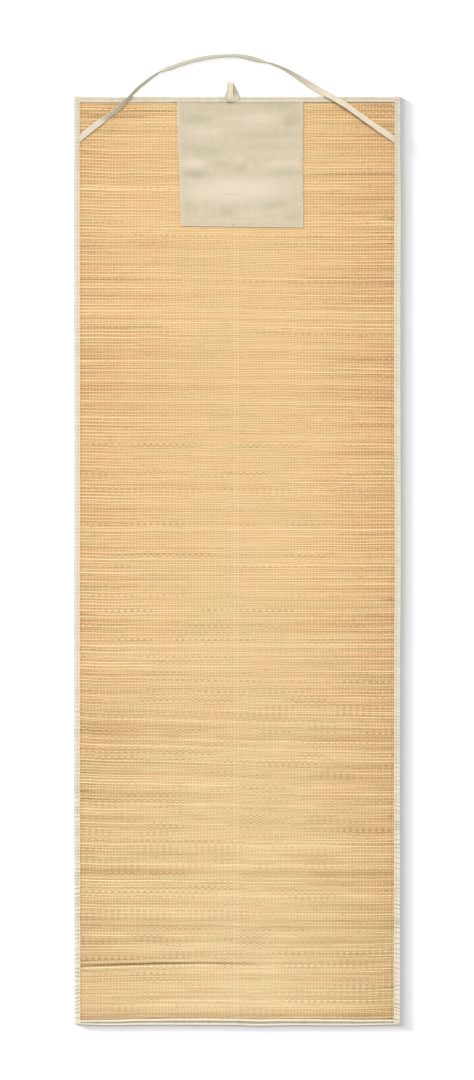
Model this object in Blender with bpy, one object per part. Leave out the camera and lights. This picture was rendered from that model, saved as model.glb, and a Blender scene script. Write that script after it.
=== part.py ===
"""Straw beach mat with cloth tape round its edges, a head patch, a hang loop and a carry strap.

Metres, +Z up. The mat lies flat on the floor with its head end towards +Y. The origin is on the
floor under the middle of the straw.
"""

import math
from collections import namedtuple

import bmesh
import bpy
from mathutils import Vector

# Driving dimensions of the mat
MAT_WIDTH = 0.600
MAT_LENGTH = 1.700
STRAW_THICK = 0.0030
SEWN_STRAW_THICK = 0.0012
TAPE_THICK = 0.0010
TAPE_ROUND = 0.0012
GAP = 0.0003

# Driving dimensions of what is sewn on
PATCH_THICK = 0.0010
HEM_THICK = 0.0004
STRAP_WIDTH = 0.0120
STRAP_THICK = 0.0022
LOOP_THICK = 0.0010
TUCKED_THICK = 0.0010

# Heights of the layers at a sewn edge, from the floor up
SEWN_LOW = TAPE_THICK + GAP
SEWN_HIGH = SEWN_LOW + SEWN_STRAW_THICK
FLAP_LOW = SEWN_HIGH + GAP
FLAP_HIGH = FLAP_LOW + TAPE_THICK
TUCKED_LOW = SEWN_HIGH + GAP
FLAP_LIFT = TUCKED_THICK + GAP
ON_STRAW = STRAW_THICK + GAP

# Where the straw thins from its full height to its sewn edge, past a flap's inner end
THIN_END = 0.0004
THIN_START = 0.0020

# The head and foot edges, at places across the mat: how far each lies outside the plain rectangle,
# and its tape's width
Across = namedtuple("Across", "x head_out head_tape foot_out foot_tape")
ACROSS = [
    Across(-0.300, 0.0013, 0.0086, -0.0010, 0.0066),
    Across(-0.255, 0.0006, 0.0087, 0.0006, 0.0088),
    Across(-0.219, 0.0000, 0.0088, 0.0008, 0.0100),
    Across(-0.182, 0.0012, 0.0090, -0.0008, 0.0112),
    Across(-0.125, 0.0013, 0.0090, -0.0012, 0.0114),
    Across(-0.040, 0.0014, 0.0092, -0.0009, 0.0114),
    Across(0.000, 0.0012, 0.0094, -0.0004, 0.0103),
    Across(0.038, 0.0011, 0.0094, 0.0009, 0.0101),
    Across(0.090, 0.0013, 0.0092, -0.0002, 0.0100),
    Across(0.150, 0.0015, 0.0090, 0.0000, 0.0098),
    Across(0.220, 0.0012, 0.0088, 0.0003, 0.0079),
    Across(0.300, 0.0010, 0.0086, -0.0003, 0.0076),
]

# The side edges, at places along the mat, in the same way
Along = namedtuple("Along", "y left_out left_tape right_out right_tape")
ALONG = [
    Along(-0.850, -0.0002, 0.0098, -0.0013, 0.0112),
    Along(-0.710, -0.0011, 0.0100, -0.0013, 0.0111),
    Along(-0.580, -0.0008, 0.0102, -0.0012, 0.0110),
    Along(-0.450, -0.0003, 0.0103, -0.0014, 0.0109),
    Along(-0.300, -0.0001, 0.0104, -0.0012, 0.0108),
    Along(-0.150, -0.0002, 0.0102, -0.0010, 0.0108),
    Along(-0.020, -0.0004, 0.0101, 0.0001, 0.0110),
    Along(0.110, -0.0009, 0.0100, -0.0001, 0.0111),
    Along(0.300, -0.0009, 0.0100, -0.0007, 0.0113),
    Along(0.500, -0.0002, 0.0101, -0.0007, 0.0114),
    Along(0.660, 0.0001, 0.0102, 0.0003, 0.0114),
    Along(0.850, 0.0002, 0.0103, 0.0003, 0.0113),
]

# Parts of a tape's section, as shares of its width, and the stitched groove's half width and depth
LIFT_START_SHARE = 0.12
LIFT_END_SHARE = 0.38
SEAM_SHARE = 0.58
SEAM_HALF = 0.0008
SEAM_DEPTH = 0.00035
FOLD_ROUND = 0.0005

# How far the corner of a tape's round edge stands off its sides, as a share of the rounding
ROUND_CORNER_SHARE = 0.3

# A tape's end is folded in over this length, and its corner is rounded by this much
END_FOLD = 0.0010
CORNER_ROUND = 0.0007

# Pitch of the sections along a tape, and the least distance between two of them
STATION_PITCH = 0.060
STATION_APART = 0.010

# Where a flap lies over a tucked piece: first and last place, and the slope at each end
LIFT_SLOPE = 0.009
LEFT_LIFT = (0.7575, 0.7845)
RIGHT_LIFT = (0.7570, 0.7820)
HEAD_LIFT = (-0.1125, 0.1228)

# Head patch: its corners, how far it goes under the top tape, and its hems
PATCH_LEFT_TOP = -0.1107
PATCH_LEFT_BOTTOM = -0.1034
PATCH_RIGHT = 0.1211
PATCH_BOTTOM_LEFT = 0.6136
PATCH_BOTTOM_RIGHT = 0.6103
PATCH_TUCK = 0.0045
PATCH_BOW = 0.0012
SIDE_HEM_LEFT = 0.0120
SIDE_HEM_RIGHT = 0.0105
FOOT_HEM = 0.0110
HEM_STEP = 0.0010

# The patch between its hems: grid lines each way, and two crossing wrinkles with their height,
# how fast each waves along x and y in radians a metre, and over how many grid lines they fade in
PATCH_LINES = 17
WRINKLE = 0.00030
WRINKLE_WAVES = ((22.0, 95.0, 0.0), (-47.0, 61.0, 1.3))
WRINKLE_FADE = 3

# Carry strap's route over the mat and the floor, from its left end to its right: x, y
STRAP_ROUTE = [
    (-0.2950, 0.7688),
    (-0.2800, 0.7812),
    (-0.2620, 0.7958),
    (-0.2440, 0.8092),
    (-0.2272, 0.8214),
    (-0.2125, 0.8335),
    (-0.1965, 0.8500),
    (-0.1822, 0.8647),
    (-0.1602, 0.8829),
    (-0.1400, 0.8965),
    (-0.1217, 0.9031),
    (-0.0887, 0.9143),
    (-0.0557, 0.9215),
    (-0.0227, 0.9248),
    (0.0040, 0.9245),
    (0.0323, 0.9185),
    (0.0652, 0.9094),
    (0.0872, 0.9000),
    (0.1092, 0.8870),
    (0.1422, 0.8661),
    (0.1752, 0.8478),
    (0.2025, 0.8313),
    (0.2258, 0.8146),
    (0.2511, 0.7965),
    (0.2800, 0.7773),
    (0.2940, 0.7680),
]
# How far the strap is rolled on to its edge: x, degrees; past 90 its other face shows
STRAP_ROLL = [
    (-0.245, 2.0),
    (-0.213, 42.0),
    (-0.196, 76.0),
    (-0.180, 72.0),
    (-0.149, 77.0),
    (-0.138, 116.0),
    (-0.126, 127.0),
    (-0.055, 127.0),
    (-0.030, 119.0),
    (-0.012, 120.0),
    (0.032, 134.0),
    (0.067, 84.0),
    (0.082, 74.0),
    (0.112, 48.0),
    (0.150, 5.0),
    (0.180, 0.0),
]
# Height of the strap's lowest edge: x, height
STRAP_LOW = [
    (-0.222, ON_STRAW),
    (-0.208, FLAP_HIGH + 2 * GAP),
    (-0.190, FLAP_HIGH + 2 * GAP),
    (-0.160, 0.0),
    (0.108, 0.0),
    (0.156, FLAP_HIGH + 2 * GAP),
    (0.197, FLAP_HIGH + 2 * GAP),
    (0.209, ON_STRAW),
]
# Along the strap from each end: where it leaves the flap, lies on full straw, and has its full form
STRAP_FLAP = 0.0068
STRAP_STRAW = 0.0096
STRAP_FULL = 0.0135
STRAP_SQUARE = 0.0180
# Along the strap: points on its route's curve for each stretch, how far on either side its
# direction is read, and the pitch of its sections
ROUTE_STEPS = 12
ROUTE_REACH = 0.003
STRAP_PITCH = 0.0060
# The rounding of the strap's edges, and the most of its half thickness that this may take
STRAP_EDGE_ROUND = 0.0006
STRAP_ROUND_SHARE = 0.6

# Hang loop's ring of tape, from its lower fold out along the back leg and home along the front leg:
# y, height, left side x, right side x
LOOP_RING = [
    (0.8405, 0.00665, -0.0198, -0.0066),
    (0.8407, 0.00616, -0.0200, -0.0040),
    (0.8412, 0.00595, -0.0202, 0.0005),
    (0.8460, 0.00592, -0.0228, 0.0038),
    (0.8505, 0.00510, -0.0233, 0.0048),
    (0.8540, 0.00300, -0.0220, 0.0034),
    (0.8575, 0.00125, -0.0205, 0.0020),
    (0.8630, 0.00080, -0.0193, -0.0008),
    (0.8700, 0.00080, -0.0191, -0.0045),
    (0.8745, 0.00135, -0.0191, -0.0069),
    (0.8764, 0.00385, -0.0191, -0.0077),
    (0.8745, 0.00635, -0.0191, -0.0077),
    (0.8700, 0.00735, -0.0191, -0.0077),
    (0.8630, 0.00765, -0.0191, -0.0077),
    (0.8560, 0.00780, -0.0192, -0.0077),
    (0.8500, 0.00780, -0.0193, -0.0077),
    (0.8450, 0.00755, -0.0194, -0.0077),
    (0.8412, 0.00735, -0.0195, -0.0077),
    (0.8407, 0.00714, -0.0196, -0.0075),
]
LOOP_STEPS = 3
LOOP_EDGE_ROUND = 0.0003

# Each finish: linear red, green and blue, and roughness
Finish = namedtuple("Finish", "colour roughness")
STRAW = Finish((0.76, 0.53, 0.26), 0.75)
EDGE_TAPE = Finish((0.71, 0.66, 0.51), 0.85)
NARROW_TAPE = Finish((0.71, 0.66, 0.51), 0.80)
PATCH_CLOTH = Finish((0.73, 0.65, 0.50), 0.80)

# Faces that meet at more than this angle keep a crisp edge
SHARP_ANGLE = math.radians(35)


def smooth(share):
    """0 to 1 with level ends."""
    share = min(max(share, 0.0), 1.0)
    return share * share * (3.0 - 2.0 * share)


def along(table, place):
    """The table's value at a place, smooth between its rows and level past its ends."""
    if place <= table[0][0]:
        return table[0][1]
    for (near, low), (far, high) in zip(table, table[1:]):
        if place <= far:
            return low + (high - low) * smooth((place - near) / (far - near))
    return table[-1][1]


def over(zone, place):
    """1 inside a lifted zone, 0 well outside it, with a smooth slope at each end."""
    first, last = zone
    rise = smooth((place - first + LIFT_SLOPE) / LIFT_SLOPE)
    fall = smooth((last + LIFT_SLOPE - place) / LIFT_SLOPE)
    return rise * fall


def read(table, column, place):
    """A named column's value at a place, on straight lines between the rows."""
    for near, far in zip(table, table[1:]):
        if place <= far[0]:
            share = max(0.0, (place - near[0]) / (far[0] - near[0]))
            return (1.0 - share) * getattr(near, column) + share * getattr(far, column)
    return getattr(table[-1], column)


def left_edge(y):
    return -MAT_WIDTH / 2 - read(ALONG, "left_out", y)


def right_edge(y):
    return MAT_WIDTH / 2 + read(ALONG, "right_out", y)


def head_edge(x):
    return MAT_LENGTH / 2 + read(ACROSS, "head_out", x)


def foot_edge(x):
    return -MAT_LENGTH / 2 - read(ACROSS, "foot_out", x)


def material(name, finish):
    made = bpy.data.materials.new(name)
    made.use_nodes = True
    shader = made.node_tree.nodes["Principled BSDF"]
    shader.inputs["Base Color"].default_value = (*finish.colour, 1.0)
    shader.inputs["Roughness"].default_value = finish.roughness
    shader.inputs["Metallic"].default_value = 0.0
    return made


def make_object(name, shape, finish):
    """Turns a bmesh into a named object of the mat's collection, with its own material."""
    bmesh.ops.recalc_face_normals(shape, faces=shape.faces)
    mesh = bpy.data.meshes.new(name)
    shape.to_mesh(mesh)
    shape.free()
    mesh.materials.append(material(name, finish))
    mesh.shade_smooth()
    mesh.set_sharp_from_angle(angle=SHARP_ANGLE)
    piece = bpy.data.objects.new(name, mesh)
    bpy.data.collections["straw_beach_mat"].objects.link(piece)
    return piece


def loft(name, rings, closed, finish):
    """A body through rings of points that all go the same way round."""
    shape = bmesh.new()
    loops = []
    for ring in rings:
        loops.append([shape.verts.new(point) for point in ring])
    pairs = list(zip(loops, loops[1:]))
    if closed:
        pairs.append((loops[-1], loops[0]))
    else:
        shape.faces.new(loops[0])
        shape.faces.new(loops[-1])
    for near, far in pairs:
        for i in range(len(near)):
            j = (i + 1) % len(near)
            shape.faces.new((near[i], near[j], far[j], far[i]))
    return make_object(name, shape, finish)


def slab(name, columns, rows, place, finish):
    """A sheet with thickness. place(column, row) gives x, y and the heights of its two faces."""
    shape = bmesh.new()
    bmesh.ops.create_grid(shape, x_segments=columns - 1, y_segments=rows - 1, size=0.5)
    raised = bmesh.ops.extrude_face_region(shape, geom=shape.faces[:])
    upper = [item for item in raised["geom"] if isinstance(item, bmesh.types.BMVert)]
    bmesh.ops.translate(shape, vec=(0.0, 0.0, 1.0), verts=upper)
    for vertex in shape.verts:
        column = round((vertex.co.x + 0.5) * (columns - 1))
        row = round((vertex.co.y + 0.5) * (rows - 1))
        x, y, low, high = place(column, row)
        vertex.co = (x, y, high if vertex.co.z > 0.5 else low)
    return make_object(name, shape, finish)


def spread(first, last, pitch):
    """Places from first to last, about a pitch apart."""
    count = max(1, round((last - first) / pitch))
    return [first + (last - first) * i / count for i in range(count + 1)]


def straw_lines(low, high, low_tape, high_tape, places):
    """Grid lines across the straw: its sewn edge, the flap's end, full straw, and the places between."""
    inset = TAPE_THICK + GAP
    near = [low + inset, low + low_tape + THIN_END, low + low_tape + THIN_START]
    far = [high - high_tape - THIN_START, high - high_tape - THIN_END, high - inset]
    return near + places + far


def straw_panel():
    """Woven field at full thickness, pressed thin where the tapes are sewn over its edges."""
    places_x = [row.x for row in ACROSS[1:-1]]
    places_y = [row.y for row in ALONG[1:-1]]

    def lines_x(y):
        left_tape, right_tape = read(ALONG, "left_tape", y), read(ALONG, "right_tape", y)
        return straw_lines(left_edge(y), right_edge(y), left_tape, right_tape, places_x)

    def lines_y(x):
        foot_tape, head_tape = read(ACROSS, "foot_tape", x), read(ACROSS, "head_tape", x)
        return straw_lines(foot_edge(x), head_edge(x), foot_tape, head_tape, places_y)

    plain_x, plain_y = lines_x(0.0), lines_y(0.0)
    columns, rows = len(plain_x), len(plain_y)

    def place(column, row):
        x = lines_x(plain_y[row])[column]
        y = lines_y(x)[row]
        sewn = column in (0, 1, columns - 2, columns - 1) or row in (0, 1, rows - 2, rows - 1)
        if sewn:
            return x, y, SEWN_LOW, SEWN_HIGH
        return x, y, 0.0, STRAW_THICK

    return slab("straw_panel", columns, rows, place, STRAW)


def tape_section(width, lift, fold):
    """A tape's cut face as (inward, height) points, folded round the straw's edge.

    lift is 1 where the upper flap lies over a tucked piece, and fold is 1 where the tape's end is
    folded in and its slot closes.
    """
    lift_end = LIFT_END_SHARE * width
    seam = SEAM_SHARE * width
    corner = ROUND_CORNER_SHARE * TAPE_ROUND
    middle = (TAPE_THICK + FLAP_LOW) / 2
    slot_low = TAPE_THICK + fold * (middle - GAP / 2 - TAPE_THICK)
    slot_high = FLAP_LOW - fold * (FLAP_LOW - middle - GAP / 2)

    def top(inward):
        rise = smooth((inward - LIFT_START_SHARE * width) / (lift_end - LIFT_START_SHARE * width))
        return FLAP_HIGH + lift * FLAP_LIFT * rise

    return [
        (width, 0.0),
        (TAPE_ROUND, 0.0),
        (corner, corner),
        (0.0, TAPE_ROUND),
        (0.0, FLAP_HIGH - TAPE_ROUND),
        (corner, FLAP_HIGH - corner),
        (TAPE_ROUND, FLAP_HIGH),
        (lift_end, top(lift_end)),
        (seam - SEAM_HALF, top(seam)),
        (seam, top(seam) - SEAM_DEPTH),
        (seam + SEAM_HALF, top(seam)),
        (width - FOLD_ROUND, top(width)),
        (width, top(width) - FOLD_ROUND),
        (width, slot_high + lift * FLAP_LIFT),
        (lift_end, slot_high + lift * FLAP_LIFT),
        (TAPE_THICK, slot_high),
        (TAPE_THICK, slot_low),
        (width, slot_low),
    ]


def tape_stations(first, last, extra):
    """Places along a tape: close together at its folded ends, then evenly, and where it lifts."""
    ends = [first, first + END_FOLD, last - END_FOLD, last]
    even = spread(first, last, STATION_PITCH)[1:-1]
    near = [place for place in extra if first < place < last]
    kept = [place for place in even if all(abs(place - other) > STATION_APART for other in near)]
    return sorted(ends + kept + near)


def zone_stations(zone):
    """Where a lifted zone starts to rise, is half up, and is full, at both its ends."""
    first, last = zone
    steps = (LIFT_SLOPE, LIFT_SLOPE / 2, 0.0)
    return [first - step for step in steps] + [last + step for step in reversed(steps)]


def side_tape(name, side, zone):
    """A tape folded round a long edge over its full length. side is -1 at the left, 1 at the right."""
    edge = left_edge if side < 0 else right_edge
    tape = "left_tape" if side < 0 else "right_tape"
    first = foot_edge(side * MAT_WIDTH / 2)
    last = head_edge(side * MAT_WIDTH / 2)
    rings = []
    for y in tape_stations(first, last, [row.y for row in ALONG] + zone_stations(zone)):
        is_end = y in (first, last)
        drawn_in = CORNER_ROUND if is_end else 0.0
        section = tape_section(read(ALONG, tape, y) - drawn_in, over(zone, y), float(is_end))
        outer = edge(y) - side * drawn_in
        rings.append([(outer - side * inward, y, height) for inward, height in section])
    return loft(name, rings, False, EDGE_TAPE)


def end_tape(name, end, zone):
    """A tape folded round a short edge, between the side tapes. end is -1 at the foot, 1 at the head."""
    edge = foot_edge if end < 0 else head_edge
    tape = "foot_tape" if end < 0 else "head_tape"
    corner_y = end * MAT_LENGTH / 2
    first = left_edge(corner_y) + read(ALONG, "left_tape", corner_y) + GAP
    last = right_edge(corner_y) - read(ALONG, "right_tape", corner_y) - GAP
    lifts = zone_stations(zone) if zone else []
    rings = []
    for x in tape_stations(first, last, [row.x for row in ACROSS] + lifts):
        lift = over(zone, x) if zone else 0.0
        section = tape_section(read(ACROSS, tape, x), lift, 0.0)
        rings.append([(x, edge(x) - end * inward, height) for inward, height in section])
    return loft(name, rings, False, EDGE_TAPE)


def head_patch():
    """Cloth square with doubled hems, its head edge pressed flat under the top tape."""
    hem_left = [0.0, SIDE_HEM_LEFT - HEM_STEP, SIDE_HEM_LEFT]
    hem_right = [SIDE_HEM_RIGHT, SIDE_HEM_RIGHT - HEM_STEP, 0.0]
    hem_foot = [0.0, FOOT_HEM - HEM_STEP, FOOT_HEM]
    tucked = [THIN_START, THIN_END]
    columns = len(hem_left) + PATCH_LINES + len(hem_right)
    rows = len(hem_foot) + PATCH_LINES + len(tucked) + 1
    tucked_row = len(hem_foot) + PATCH_LINES

    def inside(low, high, index):
        return low + (high - low) * (index + 1) / (PATCH_LINES + 1)

    def x_of(column, y):
        share = smooth((y - PATCH_BOTTOM_LEFT) / (MAT_LENGTH / 2 - PATCH_BOTTOM_LEFT))
        left = PATCH_LEFT_BOTTOM + (PATCH_LEFT_TOP - PATCH_LEFT_BOTTOM) * share
        right = PATCH_RIGHT - PATCH_BOW * math.sin(math.pi * share)
        if column < len(hem_left):
            return left + hem_left[column]
        if column >= columns - len(hem_right):
            return right - hem_right[column - columns + len(hem_right)]
        return inside(left + SIDE_HEM_LEFT, right - SIDE_HEM_RIGHT, column - len(hem_left))

    def y_of(row, x):
        share = (x - PATCH_LEFT_BOTTOM) / (PATCH_RIGHT - PATCH_LEFT_BOTTOM)
        foot = PATCH_BOTTOM_LEFT + (PATCH_BOTTOM_RIGHT - PATCH_BOTTOM_LEFT) * share
        flap = head_edge(x) - read(ACROSS, "head_tape", x)
        if row < len(hem_foot):
            return foot + hem_foot[row]
        if row == rows - 1:
            return head_edge(x) - PATCH_TUCK
        if row >= tucked_row:
            return flap - tucked[row - tucked_row]
        return inside(foot + FOOT_HEM, flap - THIN_START, row - len(hem_foot))

    def place(column, row):
        y_middle = y_of(row, (PATCH_LEFT_BOTTOM + PATCH_RIGHT) / 2)
        x = x_of(column, y_middle)
        y = y_of(row, x)
        if row > tucked_row:
            return x, y, TUCKED_LOW, TUCKED_LOW + PATCH_THICK
        high = ON_STRAW + PATCH_THICK
        from_hem = min(column - 2, columns - 3 - column, row - 2)
        if from_hem < 0:
            return x, y, ON_STRAW, high + (HEM_THICK if row < tucked_row else 0.0)
        wave = sum(math.sin(per_x * x + per_y * y + start) for per_x, per_y, start in WRINKLE_WAVES)
        fade = min(1.0, from_hem / WRINKLE_FADE, (tucked_row - row) / WRINKLE_FADE)
        return x, y, ON_STRAW, high + WRINKLE * wave / len(WRINKLE_WAVES) * fade

    return slab("head_patch", columns, rows, place, PATCH_CLOTH)


def curve_through(points, steps, closed=False):
    """Points on a smooth curve through the given ones, a few for each stretch."""
    count = len(points)
    made = []
    for i in range(count if closed else count - 1):
        if closed:
            a, b, c, d = (points[(i + k) % count] for k in (-1, 0, 1, 2))
        else:
            a, b, c, d = (points[min(max(i + k, 0), count - 1)] for k in (-1, 0, 1, 2))
        for step in range(steps):
            t = step / steps
            made.append(
                0.5
                * (
                    2.0 * b
                    + (c - a) * t
                    + (2.0 * a - 5.0 * b + 4.0 * c - d) * t * t
                    + (3.0 * b - a - 3.0 * c + d) * t * t * t
                )
            )
    if not closed:
        made.append(points[-1])
    return made


def length_marks(points):
    """How far along the line each point is."""
    marks = [0.0]
    for near, far in zip(points, points[1:]):
        marks.append(marks[-1] + (far - near).length)
    return marks


def point_at(points, marks, distance):
    for i in range(1, len(points)):
        if distance <= marks[i]:
            share = (distance - marks[i - 1]) / (marks[i] - marks[i - 1])
            return points[i - 1].lerp(points[i], share)
    return points[-1].copy()


def carry_strap():
    """Narrow folded tape, flat at its tucked ends and standing on its edge in between."""
    line = curve_through([Vector((x, y, 0.0)) for x, y in STRAP_ROUTE], ROUTE_STEPS)
    marks = length_marks(line)
    total = marks[-1]
    near = [0.0, STRAP_FLAP, STRAP_STRAW, STRAP_FULL, STRAP_SQUARE]
    even = spread(STRAP_SQUARE, total - STRAP_SQUARE, STRAP_PITCH)[1:-1]
    stations = near + even + [total - distance for distance in reversed(near)]
    rings = []
    for distance in stations:
        middle = point_at(line, marks, distance)
        ahead = point_at(line, marks, min(distance + ROUTE_REACH, total))
        behind = point_at(line, marks, max(distance - ROUTE_REACH, 0.0))
        travel = (ahead - behind).normalized()
        aside = Vector((-travel.y, travel.x, 0.0))
        from_end = min(distance, total - distance)
        full = smooth((from_end - STRAP_STRAW) / (STRAP_FULL - STRAP_STRAW))
        on_straw = smooth((from_end - STRAP_FLAP) / (STRAP_STRAW - STRAP_FLAP))
        slant = 1.0 - smooth((from_end - STRAP_STRAW) / (STRAP_SQUARE - STRAP_STRAW))
        thick = TUCKED_THICK + (STRAP_THICK - TUCKED_THICK) * full
        low = TUCKED_LOW + (along(STRAP_LOW, middle.x) - TUCKED_LOW) * on_straw
        roll = math.radians(along(STRAP_ROLL, middle.x)) * full
        along_edge = Vector((0.0, 1.0 / aside.y, 0.0))
        level = aside.lerp(along_edge, slant)
        up = Vector((0.0, 0.0, 1.0))
        across = math.cos(roll) * level + math.sin(roll) * up
        outward = math.cos(roll) * up - math.sin(roll) * aside
        half_width, half_thick = STRAP_WIDTH / 2, thick / 2
        flat_width = half_width - STRAP_EDGE_ROUND
        flat_thick = half_thick - min(STRAP_EDGE_ROUND, STRAP_ROUND_SHARE * half_thick)
        section = [
            (-half_width, -flat_thick),
            (-flat_width, -half_thick),
            (flat_width, -half_thick),
            (half_width, -flat_thick),
            (half_width, flat_thick),
            (flat_width, half_thick),
            (-flat_width, half_thick),
            (-half_width, flat_thick),
        ]
        ring = [middle + across * wide + outward * deep for wide, deep in section]
        drop = min(point.z for point in ring) - low
        rings.append([point - up * drop for point in ring])
    return loft("carry_strap", rings, False, NARROW_TAPE)


def hang_loop():
    """Ring of tape: the back leg opens out where it is sewn to the top tape, the front leg lies over it."""
    middles = [Vector((0.0, y, z)) for y, z, _, _ in LOOP_RING]
    sides = [Vector((left, right, 0.0)) for _, _, left, right in LOOP_RING]
    line = curve_through(middles, LOOP_STEPS, closed=True)
    widths = curve_through(sides, LOOP_STEPS, closed=True)
    half = LOOP_THICK / 2
    soft = LOOP_EDGE_ROUND
    rings = []
    for i, middle in enumerate(line):
        travel = (line[(i + 1) % len(line)] - line[i - 1]).normalized()
        outward = Vector((0.0, -travel.z, travel.y))
        left, right = widths[i].x, widths[i].y
        section = [
            (left, soft - half),
            (left + soft, -half),
            (right - soft, -half),
            (right, soft - half),
            (right, half - soft),
            (right - soft, half),
            (left + soft, half),
            (left, half - soft),
        ]
        rings.append([middle + outward * deep + Vector((x, 0.0, 0.0)) for x, deep in section])
    return loft("hang_loop", rings, True, NARROW_TAPE)


for old in list(bpy.data.objects):
    bpy.data.objects.remove(old, do_unlink=True)
bpy.context.scene.collection.children.link(bpy.data.collections.new("straw_beach_mat"))

straw_panel()
side_tape("binding_left", -1, LEFT_LIFT)
side_tape("binding_right", 1, RIGHT_LIFT)
end_tape("binding_top", 1, HEAD_LIFT)
end_tape("binding_bottom", -1, None)
head_patch()
carry_strap()
hang_loop()
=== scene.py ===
"""Looks of the straw beach mat: straw stalks woven on cotton warp, cloth tape round the edges, a
cloth patch at the head end, a hang loop and a carry strap. Metres, +Z up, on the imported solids.
"""

import math

import bpy
import numpy as np
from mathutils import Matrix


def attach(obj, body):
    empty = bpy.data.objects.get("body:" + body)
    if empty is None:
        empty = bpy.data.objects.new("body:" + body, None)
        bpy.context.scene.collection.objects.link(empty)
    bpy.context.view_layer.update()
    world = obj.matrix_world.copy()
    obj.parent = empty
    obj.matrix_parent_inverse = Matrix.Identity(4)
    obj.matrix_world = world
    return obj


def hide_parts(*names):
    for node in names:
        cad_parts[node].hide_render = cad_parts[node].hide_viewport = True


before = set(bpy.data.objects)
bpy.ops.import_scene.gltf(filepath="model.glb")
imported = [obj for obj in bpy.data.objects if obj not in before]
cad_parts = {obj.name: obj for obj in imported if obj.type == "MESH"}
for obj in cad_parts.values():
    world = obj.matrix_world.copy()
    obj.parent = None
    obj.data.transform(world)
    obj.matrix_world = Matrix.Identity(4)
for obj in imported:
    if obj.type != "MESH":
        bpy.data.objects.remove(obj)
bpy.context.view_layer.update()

# Camera
# It looks straight down on the mat, as the picture was taken. The picture is 474 by 1080 pixels,
# and the mat lies a little below and left of its middle.
VIEW_LENGTH = 1.9792
VIEW_MIDDLE = (-0.0007, 0.0382)
CAMERA_HEIGHT = 8.0
SENSOR = 36.0

bpy.ops.object.select_all(action="DESELECT")
bpy.ops.object.camera_add(location=(*VIEW_MIDDLE, CAMERA_HEIGHT), rotation=(0.0, 0.0, 0.0))
camera = bpy.context.object
camera.name = "camera_above"
camera.data.sensor_width = SENSOR
camera.data.lens = SENSOR * CAMERA_HEIGHT / VIEW_LENGTH
bpy.context.scene.camera = camera

# Studio light
# A white room lights the mat evenly. A broad key light stands high past the head end, and a low one
# further left models the weave. Two grazing lights at the left, on the floor alone, draw the shadow.
ROOM_STRENGTH = 0.76
# Name, strength, and in degrees: spread, height above the floor, and turn from the head to the left
LIGHTS = [
    ("key_light", 1.62, 18.0, 62.0, 20.0),
    ("low_light", 0.36, 24.0, 20.0, 50.0),
    ("floor_light", 6.1, 27.0, 14.0, 62.0),
    ("floor_low_light", 25.0, 10.0, 5.6, 62.0),
]
FLOOR_LIGHTS = ("floor_light", "floor_low_light")

bpy.context.scene.view_settings.view_transform = "Standard"
world = bpy.data.worlds.new("white_room")
world.use_nodes = True
background = world.node_tree.nodes["Background"]
background.inputs["Color"].default_value = (1.0, 1.0, 1.0, 1.0)
background.inputs["Strength"].default_value = ROOM_STRENGTH
bpy.context.scene.world = world
suns = {}
for name, strength, spread, height, turn in LIGHTS:
    aim = (-math.radians(90.0 - height), 0.0, math.radians(turn))
    bpy.ops.object.light_add(type="SUN", location=(-1.0, 0.6, 1.5), rotation=aim)
    sun = bpy.context.object
    sun.name = name
    sun.data.energy = strength
    sun.data.angle = math.radians(spread)
    suns[name] = sun

# Floor
# A plain white table or floor, larger than any view of the mat.
FLOOR_SIZE = 14.0
FLOOR_WHITE = 0.47


def feed(tree, node, inputs):
    """Gives a node's sockets, by name or number, their values or links from other nodes' outputs."""
    for socket, value in inputs.items():
        if isinstance(value, bpy.types.NodeSocket):
            tree.links.new(value, node.inputs[socket])
        else:
            node.inputs[socket].default_value = value


def put(tree, kind, inputs, **settings):
    """Adds a node to a material or a group."""
    made = tree.nodes.new(kind)
    for setting, value in settings.items():
        setattr(made, setting, value)
    feed(tree, made, inputs)
    return made


def new_material(name, roughness):
    """A material with its Principled shader, which keeps its plain numbers on its own sockets."""
    made = bpy.data.materials.new(name)
    made.use_nodes = True
    shader = made.node_tree.nodes["Principled BSDF"]
    shader.inputs["Roughness"].default_value = roughness
    return made, made.node_tree, shader


bpy.ops.mesh.primitive_plane_add(size=FLOOR_SIZE)
floor = bpy.context.object
floor.name = "floor"
floor_paint, tree, shader = new_material("white_floor", 0.9)
feed(tree, shader, {"Base Color": (FLOOR_WHITE, FLOOR_WHITE, FLOOR_WHITE, 1.0)})
floor.data.materials.append(floor_paint)
lit_floor = bpy.data.collections.new("floor_in_grazing_light")
lit_floor.objects.link(floor)
shadow_makers = bpy.data.collections.new("mat_edges_in_grazing_light")
for name in FLOOR_LIGHTS:
    suns[name].light_linking.receiver_collection = lit_floor
    suns[name].light_linking.blocker_collection = shadow_makers

# Straw core
# Broken fibres and thin tips between the two faces of the weave. It is the sheet that the stalks
# and the warp lie on, and shows only in the gaps between stalks, dark with painted shade.
STRAW_MIDDLE = 0.0015
SEWN_MIDDLE = 0.0019
SEWN_LEVELS = (0.0010, 0.0029)
CORE_SHARE = 0.08


def placed(name, mesh):
    """A mesh's object, in the scene at the origin."""
    made = bpy.data.objects.new(name, mesh)
    bpy.context.scene.collection.objects.link(made)
    return made


def corners_of(mesh):
    """A mesh's points as an array."""
    points = np.empty(len(mesh.vertices) * 3)
    mesh.vertices.foreach_get("co", points)
    return points.reshape(-1, 3)


def object_place(tree):
    return put(tree, "ShaderNodeTexCoord", {}).outputs["Object"]


def noise(tree, place, scale, detail=2.0):
    """Soft noise on a place stretched by a scale for each axis, in waves a metre."""
    stretched = put(tree, "ShaderNodeMapping", {"Vector": place, "Scale": scale}).outputs[0]
    facts = {"Vector": stretched, "Scale": 1.0, "Detail": detail}
    return put(tree, "ShaderNodeTexNoise", facts).outputs["Fac"]


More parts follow.
